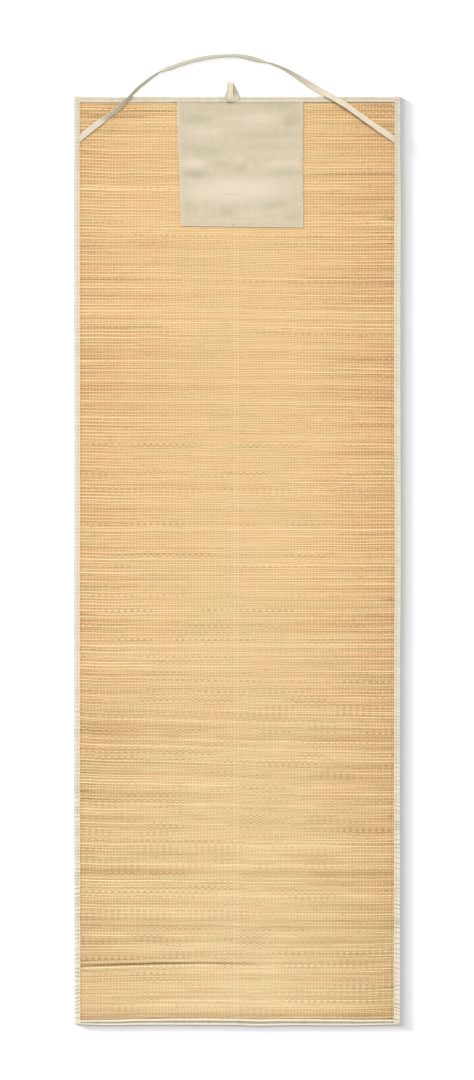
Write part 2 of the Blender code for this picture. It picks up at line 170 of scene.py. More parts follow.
def colour_row(tree, value, first, last, between=()):
    """A colour read off a row from the first to the last, with others between them by place."""
    row = put(tree, "ShaderNodeValToRGB", {"Fac": value})
    row.color_ramp.elements[0].color = (*first, 1.0)
    row.color_ramp.elements[1].color = (*last, 1.0)
    for place, colour in between:
        row.color_ramp.elements.new(place).color = (*colour, 1.0)
    return row.outputs["Color"]


bpy.ops.object.select_all(action="DESELECT")
core = placed("straw_core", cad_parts["straw_panel"].data.copy())
core.data.materials.clear()
core.select_set(True)
bpy.context.view_layer.objects.active = core
bpy.ops.object.mode_set(mode="EDIT")
bpy.ops.mesh.select_all(action="SELECT")
bpy.ops.mesh.remove_doubles(threshold=0.00001)
bpy.ops.object.mode_set(mode="OBJECT")
points = corners_of(core.data)
sewn = (points[:, 2] > SEWN_LEVELS[0]) & (points[:, 2] < SEWN_LEVELS[1])
level = np.where(sewn, SEWN_MIDDLE, STRAW_MIDDLE)
points[:, 2] = level + (points[:, 2] - level) * CORE_SHARE
core.data.vertices.foreach_set("co", points.ravel())
core.data.update()

core_straw, tree, shader = new_material("straw_in_the_gaps", 0.8)
grain = noise(tree, object_place(tree), (25.0, 900.0, 900.0), 3.0)
# Dark straw colour: the straw's own colour darkened by painted shade of the deep gaps
feed(tree, shader, {"Base Color": colour_row(tree, grain, (0.200, 0.105, 0.036), (0.420, 0.250, 0.100))})
core.data.materials.append(core_straw)
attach(core, "root")
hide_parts("straw_panel")

# Straw stalks
# Dried rush stalks, laid across the mat with the thick root end left and right by turns, so that
# the sides are coarse and the middle is fine. Both ends are pressed flat under the side tapes.
ROOT_WIDTH = 0.0041
TIP_WIDTH = 0.0019
FOOT_STALKS_SHARE = 0.80
GIRTH_SPREAD = 0.10
GIRTH_LIMITS = (0.72, 1.40)
TURN_CHANCE = 0.96
WIDTH_RIPPLE = 0.014
SIDE_SWAY = 0.0013
TONE_SPREAD = 0.165
SIDE_ROUNDNESS = 0.86
CENTRE_ROUNDNESS = 0.33
LEFT_CALMER = 0.86
HALF_FIELD = 0.28
TIP_SINK = 0.00045
STALK_MOST_HEIGHT = 0.00128
SEWN_HEIGHT = 0.00058
OVERLAP = 1.03
TAPE_WALL = 0.0013
THIN_END = 0.0004
THIN_START = 0.0020
NEAR_EDGE = 0.0075
STALK_SIDES = 6
STALK_PLAIN_RINGS = 22
FIELD_SEED = 11
FULL_TURN = 6.28

# How much further over the straw each tape's inner edge lies than its solid's, and how much nearer
# the foot the end tapes' outer edges lie: place along the tape, distance
WIDER = {
    "left": [(0.0, 0.0014)],
    "right": [(0.0, 0.0012)],
    "head": [(0.0, 0.0021)],
    "foot": [
        (-0.290, 0.0007), (-0.215, 0.0003), (-0.191, -0.0010), (-0.160, -0.0008), (-0.096, -0.0012),
        (-0.050, -0.0008), (-0.014, 0.0004), (0.023, 0.0012), (0.060, 0.0004), (0.096, 0.0005),
        (0.170, 0.0008), (0.206, 0.0018), (0.239, 0.0020), (0.269, 0.0018),
    ],
}
LOWER = {
    "left": [(0.0, 0.0)],
    "right": [(0.0, 0.0)],
    "head": [(-0.280, 0.0004), (0.280, 0.0010)],
    "foot": [(-0.230, 0.0), (-0.160, 0.0013), (0.060, 0.0011), (0.200, 0.0011), (0.285, 0.0)],
}
# The rows wander together in long soft waves: turns a metre across the mat, size, turns a metre
# along it, and start
WAVES = [(5.0, 0.0013, 6.1, 0.4), (11.0, 0.0003, 13.7, 2.1), (23.0, 0.00008, 21.3, 4.0)]
# Near the foot the rows follow one long dark stalk: place across and along the mat, and how dark
LONG_STALK = [
    (-0.290, -0.7417, 0.40), (-0.262, -0.7408, 0.75), (-0.235, -0.7399, 0.92), (-0.149, -0.7375, 1.00),
    (-0.115, -0.7370, 0.88), (-0.060, -0.7362, 0.80), (0.005, -0.7378, 0.55), (0.045, -0.7380, 0.20),
    (0.120, -0.7385, 0.00),
]
LONG_STALK_END = 0.005
LONG_STALK_SEEN = -0.130
LONG_STALK_REACH = 0.045
# Dark stalks and dark root ends: place along the mat, 1 for a thin end or 0 for a root, first and
# last place across the mat, and how dark. The short, very dark ends right at the side tapes are
# painted shade where the tapes pucker
DARK_STALKS = [
    (0.8357, 0, 0.222, 0.290, 0.50), (0.8163, 0, 0.238, 0.290, 0.55), (0.7959, 0, 0.256, 0.290, 0.50),
    (0.7811, 0, 0.262, 0.290, 0.40), (0.8234, 0, -0.290, -0.262, 0.50), (0.8139, 0, -0.290, -0.165, 0.60),
    (0.8040, 0, -0.290, -0.265, 0.40), (0.8220, 1, -0.190, -0.120, 0.35), (0.7505, 0, -0.290, -0.250, 0.45),
    (0.7071, 0, 0.140, 0.290, 0.35), (0.7000, 1, 0.160, 0.290, 0.30), (0.4300, 0, -0.290, -0.130, 0.45),
    (0.6280, 0, 0.276, 0.290, 0.90), (0.5200, 1, 0.120, 0.290, 0.35), (-0.0720, 0, 0.276, 0.290, 0.90),
    (-0.0940, 0, -0.290, -0.280, 0.90), (-0.4220, 0, -0.290, -0.280, 0.90), (-0.7114, 0, 0.282, 0.290, 0.60),
    (-0.7517, 0, 0.282, 0.290, 0.75), (-0.7792, 0, 0.282, 0.290, 1.00), (-0.8213, 0, 0.282, 0.290, 1.00),
]
# Painted shade on the straw along each tape: how much, and how far it reaches
TAPE_EDGE_PAINTED_SHADE = {"foot": (0.85, 0.0014), "head": (0.72, 0.0014), "left": (0.10, 0.0024), "right": (0.22, 0.0026)}

chance = np.random.default_rng(FIELD_SEED)


def smooth(share):
    """0 to 1 with level ends."""
    share = np.clip(share, 0.0, 1.0)
    return share * share * (3.0 - 2.0 * share)


def bell(away, reach):
    """1 in the middle, falling to 0 past its reach."""
    return np.exp(-((away / reach) ** 2))


def edge_of_tape(name, node, axis, outward):
    """A tape's outer and inner edge at places along it, from its solid. outward is 1 or -1."""
    points = corners_of(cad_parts[node].data)
    keys = np.round(points[:, axis], 5)
    places = np.unique(keys)
    across = points[:, 1 - axis]
    low = np.array([across[keys == place].min() for place in places])
    high = np.array([across[keys == place].max() for place in places])
    wide = high - low
    usual = np.array([np.median(wide[max(0, i - 2) : i + 3]) for i in range(len(wide))])
    whole = wide > 0.70 * usual
    places = places[whole]
    outer, inner = (high[whole], low[whole]) if outward > 0 else (low[whole], high[whole])
    inner = inner - outward * np.interp(places, *zip(*WIDER[name]))
    outer = outer - np.interp(places, *zip(*LOWER[name]))
    return {"places": places, "outer": outer, "inner": inner}


def edge_at(name, edge, places):
    """Where a tape's outer or inner edge lies, at places along it."""
    return np.interp(places, edges[name]["places"], edges[name][edge])


edges = {
    "left": edge_of_tape("left", "binding_left", 1, -1),
    "right": edge_of_tape("right", "binding_right", 1, 1),
    "head": edge_of_tape("head", "binding_top", 0, 1),
    "foot": edge_of_tape("foot", "binding_bottom", 0, -1),
}

# Stalks from the foot up, until they fill the mat: which side each root lies on, and how thick
field_foot = edges["foot"]["outer"].mean() + TAPE_WALL
field_head = edges["head"]["outer"].mean() - TAPE_WALL
field_length = edges["head"]["outer"].mean() - edges["foot"]["outer"].mean() - 2 * TAPE_WALL
root_sides, girths = [], []
filled = 0.0
side = 1
while filled < field_length:
    side = -side if chance.random() < TURN_CHANCE else side
    finer = np.interp(filled / field_length, (0.10, 0.45), (FOOT_STALKS_SHARE, 1.0))
    girth = finer * np.clip(chance.normal(1.0, GIRTH_SPREAD), *GIRTH_LIMITS)
    root_sides.append(side)
    girths.append(girth)
    filled += girth * (ROOT_WIDTH + TIP_WIDTH) / 2
root_sides, girths = np.array(root_sides), np.array(girths)
stalk_count = len(girths)

# Where each stalk's rings lie across the mat, at a first guess of the stalk's height along the mat
guess = np.linspace(field_foot, field_head, stalk_count)
outer_left = edge_at("left", "outer", guess) + TAPE_WALL
outer_right = edge_at("right", "outer", guess) - TAPE_WALL
flap_left = edge_at("left", "inner", guess)
flap_right = edge_at("right", "inner", guess)
near_left = (flap_left + NEAR_EDGE)[:, None]
near_right = (flap_right - NEAR_EDGE)[:, None]
left_rings = [outer_left, flap_left + THIN_END, flap_left + THIN_START]
plain_rings = near_left + (near_right - near_left) * np.linspace(0.0, 1.0, STALK_PLAIN_RINGS)
right_rings = [flap_right - THIN_START, flap_right - THIN_END, outer_right]
ring_x = np.column_stack([*left_rings, plain_rings, *right_rings])
ring_count = ring_x.shape[1]

# Widths taper from root to tip, and the stalks fill the mat from edge to edge at every ring
across_share = (ring_x - outer_left[:, None]) / (outer_right - outer_left)[:, None]
from_root = np.where(root_sides[:, None] < 0, across_share, 1.0 - across_share)
thin_end = np.clip(2.0 * from_root - 1.0, 0.0, 1.0)
widths = girths[:, None] * (ROOT_WIDTH + (TIP_WIDTH - ROOT_WIDTH) * from_root)
widths *= 1.0 + WIDTH_RIPPLE * np.sin(ring_x * 61.0 + chance.uniform(0.0, FULL_TURN, (stalk_count, 1)))
foot_line = edge_at("foot", "outer", ring_x) + TAPE_WALL
head_line = edge_at("head", "outer", ring_x) - TAPE_WALL
filled = np.cumsum(widths, axis=0)
scale = (head_line - foot_line) / filled[-1]
row_y = foot_line + (filled - widths / 2) * scale
widths = widths * scale

# The rows wander, and turn a little near the mat's sides
inside = np.clip(np.minimum(row_y - foot_line, head_line - row_y) / 0.030, 0.0, 1.0)
wander = np.zeros(row_y.shape)
loose = 0.12 + 0.88 * smooth((row_y + 0.72) / 0.30)
for turns, size, turns_along, start in WAVES:
    wander += size * np.sin(turns * ring_x + turns_along * row_y + start) * loose
near_side = np.clip((np.abs(ring_x) - 0.20) / 0.09, 0.0, 1.0) ** 2
turn_in = 0.25 + 0.75 * smooth((row_y + 0.30) / 0.35)
wander += SIDE_SWAY * near_side * turn_in * np.sin(9.7 * row_y + 1.1 + np.sign(ring_x))
wander += 0.00004 * np.sin(73.0 * ring_x + chance.uniform(0.0, FULL_TURN, (stalk_count, 1)))
row_y += wander * inside
stalk_x, stalk_y, stalk_dark = zip(*LONG_STALK)
long_path = np.interp(ring_x, stalk_x, stalk_y)
seen = int(np.abs(ring_x[0] - LONG_STALK_SEEN).argmin())
misfit = np.abs(row_y[:, seen] - long_path[:, seen]) + np.where(from_root[:, seen] < 0.5, 0.0, 1.0)
long_stalk = int(misfit.argmin())
pull = (long_path[long_stalk] - row_y[long_stalk]) * (1.0 - smooth((ring_x[long_stalk] - 0.02) / 0.10))
row_y += pull * bell(row_y - long_path, LONG_STALK_REACH) * inside

darkness = np.zeros(ring_x.shape)
darkness[long_stalk] = np.interp(ring_x[long_stalk], stalk_x, stalk_dark)
for place, thin, first, last, amount in DARK_STALKS:
    middle = int(np.abs(ring_x[0] - (first + last) / 2).argmin())
    wanted = (from_root[:, middle] > 0.5) == bool(thin)
    chosen = int((np.abs(row_y[:, middle] - place) + np.where(wanted, 0.0, 1.0)).argmin())
    rise = np.clip((ring_x[chosen] - first) / min(0.04, 2.0 * (last - first)) + 0.5, 0.0, 1.0)
    fall = np.clip((last - ring_x[chosen]) / min(0.03, 1.5 * (last - first)) + 0.5, 0.0, 1.0)
    darkness[chosen] = np.maximum(darkness[chosen], amount * rise * fall)

# Heights: round in the open weave, pressed thin under the tapes, and trodden flat near the foot
at_left = ring_x < 0.0
side_share = np.clip(np.abs(ring_x) / HALF_FIELD, 0.0, 1.0) ** 1.5 * np.where(at_left, LEFT_CALMER, 1.0)
trodden = smooth((-row_y - 0.35) / 0.30) * np.where(at_left, 1.0, 0.4)
roundness = CENTRE_ROUNDNESS + (SIDE_ROUNDNESS - CENTRE_ROUNDNESS) * side_share * (1.0 - 0.45 * trodden)
heights = np.minimum(widths / 2 * roundness, STALK_MOST_HEIGHT)
lift = STRAW_MIDDLE - TIP_SINK * (1.0 - 0.6 * trodden) * side_share * thin_end
below_head = edge_at("head", "inner", ring_x) - row_y
above_foot = row_y - edge_at("foot", "inner", ring_x)
pressed = (below_head < THIN_END) | (above_foot < THIN_END)
pressed[:, :2] = pressed[:, -2:] = True
heights[pressed] = np.minimum(heights[pressed], SEWN_HEIGHT)
lift[pressed] = SEWN_MIDDLE

# The last rows above the foot tape are darker than the rest, and the first below the head tape paler
last_rows = bell(above_foot - 0.0065, 0.0050) * np.where(at_left, 0.50, 0.34)
last_rows -= 0.18 * bell(below_head - 0.0080, 0.0060)
last_rows -= 0.35 * bell(above_foot - 0.0026, 0.0016)


def turn_selected(degrees, axis):
    """Turns what is selected in edit mode about an axis through the origin."""
    centre = (0.0, 0.0, 0.0)
    bpy.ops.transform.rotate(value=math.radians(degrees), orient_axis=axis, center_override=centre)


# One stalk is modelled as a six-sided rod along X with a ring at each place where it bends
bpy.ops.object.select_all(action="DESELECT")
bpy.ops.mesh.primitive_cylinder_add(vertices=STALK_SIDES, radius=1.0, depth=2.0, end_fill_type="NGON")
rod = bpy.context.object
bpy.ops.object.mode_set(mode="EDIT")
bpy.ops.mesh.select_mode(type="EDGE")
bpy.ops.mesh.select_all(action="DESELECT")
bpy.ops.object.mode_set(mode="OBJECT")
for edge in rod.data.edges:
    ends = [rod.data.vertices[index].co.z for index in edge.vertices]
    edge.select = abs(ends[0] - ends[1]) > 1.0
bpy.ops.object.mode_set(mode="EDIT")
bpy.ops.mesh.subdivide(number_cuts=ring_count - 2)
bpy.ops.mesh.select_all(action="SELECT")
turn_selected(90.0, "Y")
bpy.ops.mesh.normals_make_consistent(inside=False)
bpy.ops.object.mode_set(mode="OBJECT")


def give_values(mesh, name, values):
    """Stores a value at each of a mesh's points, for its material."""
    layer = mesh.attributes.new(name, "FLOAT", "POINT")
    layer.data.foreach_set("value", np.asarray(values, np.float32).ravel())


def repeat_mesh(unit, name, places, attributes):
    """Joins many copies of one modelled mesh. places has a row of points for each copy, and
    attributes maps a name to values for each copy's points."""
    corner_count = len(unit.data.vertices)
    faces = [tuple(face.vertices) for face in unit.data.polygons]
    sizes = np.tile([len(face) for face in faces], len(places))
    corners = np.concatenate([np.array(face) for face in faces])
    all_corners = (corners[None, :] + corner_count * np.arange(len(places))[:, None]).ravel()
    starts = np.concatenate([[0], np.cumsum(sizes)[:-1]])
    mesh = bpy.data.meshes.new(name)
    mesh.vertices.add(corner_count * len(places))
    mesh.vertices.foreach_set("co", np.asarray(places, np.float32).ravel())
    mesh.loops.add(len(all_corners))
    mesh.loops.foreach_set("vertex_index", all_corners.astype(np.int32))
    mesh.polygons.add(len(sizes))
    mesh.polygons.foreach_set("loop_start", starts.astype(np.int32))
    for attribute, values in attributes.items():
        give_values(mesh, attribute, values)
    mesh.update(calc_edges=True)
    mesh.validate()
    mesh.shade_smooth()
    return placed(name, mesh)


rod_points = corners_of(rod.data)
ring_of = np.rint((rod_points[:, 0] - rod_points[:, 0].min()) / 2.0 * (ring_count - 1)).astype(int)
point_x = ring_x[:, ring_of]
point_y = row_y[:, ring_of] + rod_points[:, 1] * widths[:, ring_of] / 2 * OVERLAP
point_z = lift[:, ring_of] + rod_points[:, 2] * heights[:, ring_of]
stalk_points = np.stack([point_x, point_y, point_z], axis=2)

# Painted shade lies in a narrow line on the straw along each tape
tape_gaps = {
    "foot": point_y - edge_at("foot", "inner", point_x),
    "head": edge_at("head", "inner", point_x) - point_y,
    "left": point_x - edge_at("left", "inner", point_y),
    "right": edge_at("right", "inner", point_y) - point_x,
}
tape_edge_painted_shade = np.zeros(point_x.shape)
for name, (amount, reach) in TAPE_EDGE_PAINTED_SHADE.items():
    tape_edge_painted_shade = np.maximum(tape_edge_painted_shade, amount * bell(tape_gaps[name], reach))

# How each stalk looks: lighter or darker, greener or pinker, and dark dashes of painted shade
# between threads
tones = np.clip(TONE_SPREAD * chance.normal(size=stalk_count), -0.5, 0.5)
hues = chance.random(stalk_count)
near_foot = smooth((0.05 - row_y.mean(axis=1)) / 0.50)
tones *= 1.0 + 0.50 * near_foot
dash_chance = 0.12 + 0.55 * near_foot
dashed = np.where(chance.random(stalk_count) < dash_chance, chance.uniform(0.5, 1.0, stalk_count), 0.0)
dashed *= np.where(np.arange(stalk_count) % 2 == 0, 1.0, -1.0)
shown_in_middle = (np.where(tones > 0.16, 0.42, 0.19) + 0.22 * near_foot)[:, None]
shown_tones = 0.5 + tones[:, None] * (shown_in_middle + (1.0 - shown_in_middle) * side_share)
# Thin ends near the sides, sunk between the roots, are darkened too: painted shade
shown_tones -= last_rows + 0.16 * (side_share * thin_end)
one = np.ones((stalk_count, len(rod_points)))
stalk_facts = {
    "tone": shown_tones[:, ring_of],
    "hue": hues[:, None] * one,
    "root": (1.0 - from_root)[:, ring_of],
    "side": side_share[:, ring_of],
    # Dark stalks, and the painted shade along the tapes
    "dark": np.maximum(darkness[:, ring_of], tape_edge_painted_shade),
    "dash": dashed[:, None] * one,
    "crest": rod_points[:, 2] * one,
}


def mixed(tree, share, first, second, way="MIX"):
    """A colour between two others, or their product."""
    facts = {0: share, 6: first, 7: second}
    return put(tree, "ShaderNodeMix", facts, data_type="RGBA", blend_type=way).outputs[2]


def coated(tree, colour, coats, way="MIX"):
    """A colour under coats of others in turn: how much of each, and its colour."""
    for share, coat in coats:
        colour = mixed(tree, share, colour, (*coat, 1.0), way)
    return colour


def ramped(tree, value, low, high, to_low, to_high):
    """A value read from one range into another."""
    facts = {"Value": value, "From Min": low, "From Max": high, "To Min": to_low, "To Max": to_high}
    return put(tree, "ShaderNodeMapRange", facts).outputs[0]


def worked(tree, operation, *values):
    return put(tree, "ShaderNodeMath", dict(enumerate(values)), operation=operation).outputs[0]


def product(tree, value, *factors):
    """A value times others, each one read from one range into another."""
    for factor in factors:
        value = worked(tree, "MULTIPLY", value, ramped(tree, *factor))
    return value


def scaled(tree, vector, scale):
    facts = {0: vector, "Scale": scale}
    return put(tree, "ShaderNodeVectorMath", facts, operation="SCALE").outputs[0]


def fact(tree, name):
    return put(tree, "ShaderNodeAttribute", {}, attribute_name=name).outputs["Fac"]


def bumped(tree, height, strength, distance, **under):
    """A surface's normal raised by a height, over another bump's normal where one is given."""
    facts = {"Height": height, "Strength": strength, "Distance": distance, **under}
    return put(tree, "ShaderNodeBump", facts).outputs["Normal"]


WARP_PITCH = 0.0059
CENTRE_THREADS = (-0.0057, 0.0011)

straw, tree, shader = new_material("dried_straw", 0.52)
place = object_place(tree)
x, y = put(tree, "ShaderNodeSeparateXYZ", {"Vector": place}).outputs[:2]
tone, hue, root = fact(tree, "tone"), fact(tree, "hue"), fact(tree, "root")
side, crest = fact(tree, "side"), fact(tree, "crest")
patchy = noise(tree, place, (7.0, 360.0, 160.0))
fibres = noise(tree, place, (22.0, 3200.0, 2400.0))
bands = noise(tree, place, (2.5, 62.0, 1.0), 3.0)
ripeness = noise(tree, place, (9.0, 21.0, 1.0), 3.0)
hollows = noise(tree, place, (5.0, 120.0, 1.0))
nicks = noise(tree, place, (60.0, 780.0, 300.0), 1.0)
dash_shade_noise = noise(tree, place, (11.0, 47.0, 1.0), 1.0)
faded = ramped(tree, y, 0.20, -0.72, 0.0, 1.0)

# The pinch that each warp thread makes: 1 under a thread, -1 halfway to the next
turns = {0: place, 1: (math.pi / WARP_PITCH, 0.0, 0.0)}
across = put(tree, "ShaderNodeVectorMath", turns, operation="DOT_PRODUCT").outputs["Value"]
slow_wave = worked(tree, "COSINE", worked(tree, "ADD", across, -math.pi * CENTRE_THREADS[1] / WARP_PITCH))
pinch = ramped(tree, worked(tree, "MULTIPLY", slow_wave, slow_wave), 0.0, 1.0, -1.0, 1.0)

# From root to tip, greener or pinker by the stalk, and riper in places
colour = colour_row(
    tree, root, (0.885, 0.645, 0.350), (0.870, 0.574, 0.280), [(0.60, (0.880, 0.627, 0.322))]
)
green = ramped(tree, hue, 0.80, 1.0, 0.0, 0.22)
pink = product(
    tree,
    ramped(tree, hue, 0.30, 0.0, 0.0, 0.50),
    (root, 0.74, 1.0, 0.0, 1.0),
    (faded, 0.0, 1.0, 1.0, 0.50),
    (x, -0.28, 0.28, 0.45, 1.30),
)
colour = coated(tree, colour, [(green, (0.740, 0.600, 0.270)), (pink, (0.700, 0.370, 0.190))])
ripe = ramped(tree, ripeness, 0.50, 0.66, 0.0, 1.0)
unripe = ramped(tree, ripeness, 0.50, 0.34, 0.0, 1.0)
washes = [(ripe, (1.0, 0.955, 0.945)), (unripe, (0.955, 0.990, 0.955)), (faded, (0.965, 1.048, 1.145))]
colour = coated(tree, colour, washes, "MULTIPLY")

# Dust and painted shade in the furrows between stalks, broken by the threads that dive there, then
# nicks and splits, painted shade in dashes between threads, and whole dark stalks and painted shade
# along the tapes
furrow_dust_and_shade = product(
    tree,
    ramped(tree, crest, 0.80, 0.48, 0.0, 1.0),
    (side, 0.0, 1.0, 0.06, 0.58),
    (hollows, 0.36, 0.60, 0.40, 1.0),
    (faded, 0.0, 1.0, 1.0, 1.55),
    (pinch, -1.0, 1.0, 1.25, 0.40),
)
nick = ramped(tree, nicks, 0.63, 0.73, 0.0, 0.55)
nick = product(tree, nick, (side, 0.0, 1.0, 0.45, 1.0), (faded, 0.0, 1.0, 1.0, 0.70))
dash_here = worked(tree, "MULTIPLY", slow_wave, fact(tree, "dash"))
dash = product(tree, ramped(tree, dash_shade_noise, 0.42, 0.56, 0.0, 1.0), (dash_here, 0.25, 0.75, 0.0, 0.66))
dark = product(tree, fact(tree, "dark"), (pinch, -1.0, 1.0, 1.0, 0.80))
marks = [
    (furrow_dust_and_shade, (0.490, 0.285, 0.115)),
    (nick, (0.360, 0.190, 0.075)),
    (dash, (0.420, 0.260, 0.115)),
    (dark, (0.185, 0.110, 0.036)),
]
colour = coated(tree, colour, marks)

# Light and dark by the stalk, its fibres and its place. Darker straw is also redder
calm = ramped(tree, side, 0.0, 1.0, 0.35, 1.0)
bright = product(
    tree,
    ramped(tree, tone, 0.0, 1.0, 0.71, 1.145),
    (mixed(tree, calm, (0.5, 0.5, 0.5, 1.0), patchy), 0.3, 0.7, 0.90, 1.08),
    (fibres, 0.3, 0.7, 0.91, 1.06),
    (bands, 0.3, 0.7, 0.935, 1.055),
    (x, 0.10, 0.28, 1.0, 0.965),
    (x, -0.10, -0.28, 1.0, 1.022),
)
from_middle = ramped(tree, side, 0.0, 0.5, 0.962, 1.0)
from_middle = worked(tree, "MAXIMUM", from_middle, ramped(tree, faded, 0.6, 1.0, 0.962, 1.0))
bright = product(tree, worked(tree, "MULTIPLY", bright, from_middle), (pinch, -1.0, 1.0, 0.952, 1.036))
shades = put(tree, "ShaderNodeCombineXYZ", {"X": bright, "Y": bright, "Z": bright}).outputs[0]
deeper = put(tree, "ShaderNodeVectorMath", {0: shades, 1: (0.85, 1.15, 1.55)}, operation="POWER").outputs[0]
colour = put(tree, "ShaderNodeVectorMath", {0: colour, 1: deeper}, operation="MULTIPLY").outputs[0]
normal = bumped(tree, fibres, 0.5, 0.0002, Normal=bumped(tree, pinch, 0.5, -0.0002))
feed(tree, shader, {"Base Color": colour, "Normal": normal, "Specular IOR Level": 0.35})

for name, chosen in (("stalks_root_left", root_sides < 0), ("stalks_root_right", root_sides > 0)):
    facts = {key: values[chosen] for key, values in stalk_facts.items()}
    stalks = repeat_mesh(rod, name, stalk_points[chosen], facts)
    stalks.data.materials.append(straw)
    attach(stalks, "root")
    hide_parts("straw_panel")
bpy.data.objects.remove(rod)

# Warp threads
# Cotton threads along the mat, 5.9 mm apart. Each goes over one shed of stalks and under the next,
# its neighbours the other way round, and holds the stalks together. A shed is one stalk, or two.
WARP_WIDTH = 0.00110
WARP_FOOT_SHARE = 0.82
WARP_SPREAD = 1.3
WARP_OVERLAP = 1.02
WARP_THICK = 0.00022
WARP_MOST_HEIGHT = 0.00148
WARP_END_RISE = 0.10
CENTRE_WIDTH = 0.0014
SIDE_ROOM = 0.0008
WARP_BANDS = {"upper": 4, "lower": 2}
# How often a shed is two stalks: place along the mat, 0 at the foot and 1 at the head, and chance
PAIR_CHANCE = [(0.30, 0.10), (0.80, 0.55)]

shed_first, shed_last = [], []
stalk = 0
while stalk < stalk_count:
    pair_chance = np.interp(stalk / stalk_count, *zip(*PAIR_CHANCE))
    size = 2 if chance.random() < pair_chance and stalk + 1 < stalk_count else 1
    shed_first.append(stalk)
    shed_last.append(stalk + size - 1)
    stalk += size
shed_first, shed_last = np.array(shed_first), np.array(shed_last)

half_span = min(-edges["left"]["inner"].max(), edges["right"]["inner"].min()) - SIDE_ROOM
thread_count = 2 * int(half_span / WARP_PITCH) + 1
threads_x = (np.arange(thread_count) - thread_count // 2) * WARP_PITCH + CENTRE_THREADS[1]
threads_x = threads_x[np.abs(threads_x) < half_span]


def at_thread(values, x):
    """Each stalk's value where a thread crosses it."""
    return np.array([np.interp(x, places, row) for places, row in zip(ring_x, values)])


# The upper float is a four-sided bead drawn out along Y, and the lower one is three-sided
bpy.ops.object.select_all(action="DESELECT")
bpy.ops.mesh.primitive_uv_sphere_add(segments=4, ring_count=3, radius=1.0)
bead = bpy.context.object
bpy.ops.object.mode_set(mode="EDIT")
bpy.ops.mesh.select_all(action="SELECT")
turn_selected(45.0, "Z")
turn_selected(90.0, "X")
bpy.ops.object.mode_set(mode="OBJECT")
bpy.ops.object.select_all(action="DESELECT")
bpy.ops.mesh.primitive_cone_add(vertices=3, radius1=1.0, radius2=0.0, depth=1.0, end_fill_type="NOTHING")
under_bead = bpy.context.object
bpy.ops.object.mode_set(mode="EDIT")
bpy.ops.mesh.select_all(action="SELECT")
bpy.ops.transform.translate(value=(0.0, 0.0, 0.5))
bpy.ops.mesh.duplicate()
bpy.ops.transform.resize(value=(1.0, 1.0, -1.0), center_override=(0.0, 0.0, 0.0))
bpy.ops.mesh.select_all(action="SELECT")
bpy.ops.mesh.remove_doubles(threshold=0.001)
bpy.ops.mesh.normals_make_consistent(inside=False)
turn_selected(90.0, "X")
bpy.ops.object.mode_set(mode="OBJECT")

# Each layer's bead points, the share of its length that each lies along, and how high each stands
bead_points = corners_of(bead.data)
inner = np.abs(bead_points[:, 1]) < 0.9
bead_along = np.where(inner, np.sign(bead_points[:, 1]) * 0.72, bead_points[:, 1])
bead_rise = np.where(inner, np.where(bead_points[:, 2] > 0.0, 1.0, 0.45), WARP_END_RISE)
under_points = corners_of(under_bead.data)
inner = np.abs(under_points[:, 1]) < 0.9
under_rise = np.where(inner, np.where(under_points[:, 2] < 0.2, 1.0, 0.5), WARP_END_RISE)
layers = {
    "upper": (bead, bead_points[:, 0], bead_along, bead_rise, [], []),
    "lower": (under_bead, under_points[:, 0], under_points[:, 1], -under_rise, [], []),
}
for number, thread_x in enumerate(threads_x):
    centre_y = at_thread(row_y, thread_x)
    half_width = at_thread(widths, thread_x) / 2
    half_height = at_thread(heights, thread_x)
    first_y = (centre_y - half_width)[shed_first]
    last_y = (centre_y + half_width)[shed_last]
    top = np.maximum(half_height[shed_first], half_height[shed_last])
    open_weave = last_y < edge_at("head", "inner", thread_x) - THIN_END
    open_weave &= first_y > edge_at("foot", "inner", thread_x) + THIN_END
    if thread_x < LONG_STALK_END:
        open_weave &= (shed_first > long_stalk) | (shed_last < long_stalk)
    centred = min(abs(thread_x - middle) for middle in CENTRE_THREADS) < WARP_PITCH / 3
    goes_over = (np.arange(len(shed_first)) + number) % 2 == 0
    width = CENTRE_WIDTH if centred else WARP_WIDTH * chance.uniform(0.88, 1.12)
    for layer, (unit, unit_x, unit_along, unit_rise, places, facts) in layers.items():
        chosen = open_weave & ((goes_over == (layer == "upper")) | centred)
        middle_y = (first_y + last_y)[chosen] / 2
        reach = (last_y - first_y)[chosen] / 2
        sway = 0.0003 * np.sin(middle_y * 19.0 + number * 2.4) + chance.normal(0.0, 0.00009, len(middle_y))
        finer = np.interp(middle_y, (-0.80, -0.30), (WARP_FOOT_SHARE, 1.0))
        wide = width / 2 * finer * chance.uniform(0.9, 1.1, len(middle_y))
        bead_x = thread_x + sway[:, None] + unit_x * WARP_SPREAD * wide[:, None]
        bead_y = middle_y[:, None] + unit_along * reach[:, None] * WARP_OVERLAP
        bead_z = STRAW_MIDDLE + unit_rise * np.minimum(top[chosen][:, None] + WARP_THICK, WARP_MOST_HEIGHT)
        places.append(np.stack([bead_x, bead_y, bead_z], axis=2))
        shade = chance.uniform(0.0, 1.0) * 0.4 + chance.uniform(0.0, 0.6, len(middle_y))
        facts.append(np.stack([shade, np.full(len(shade), float(centred))], axis=1))


def slanting_bands(tree, place, scale, distortion, detail=2.0):
    """Even bands on the slant, a little out of line, as in a twisted thread."""
    facts = {"Vector": place, "Scale": scale, "Distortion": distortion, "Detail": detail}
    return put(tree, "ShaderNodeTexWave", facts, bands_direction="DIAGONAL").outputs["Fac"]


cotton, tree, shader = new_material("cotton_warp", 0.85)
place = object_place(tree)
colour = mixed(tree, fact(tree, "shade"), (0.835, 0.618, 0.340, 1.0), (0.885, 0.680, 0.400, 1.0))
colour = coated(tree, colour, [(fact(tree, "centre"), (0.920, 0.750, 0.490))])
lint = noise(tree, place, (900.0, 900.0, 900.0))
colour = scaled(tree, colour, ramped(tree, lint, 0.3, 0.7, 0.93, 1.05))
ply = slanting_bands(tree, place, 380.0, 0.6)
feed(tree, shader, {"Base Color": colour, "Normal": bumped(tree, ply, 0.5, 0.0001)})

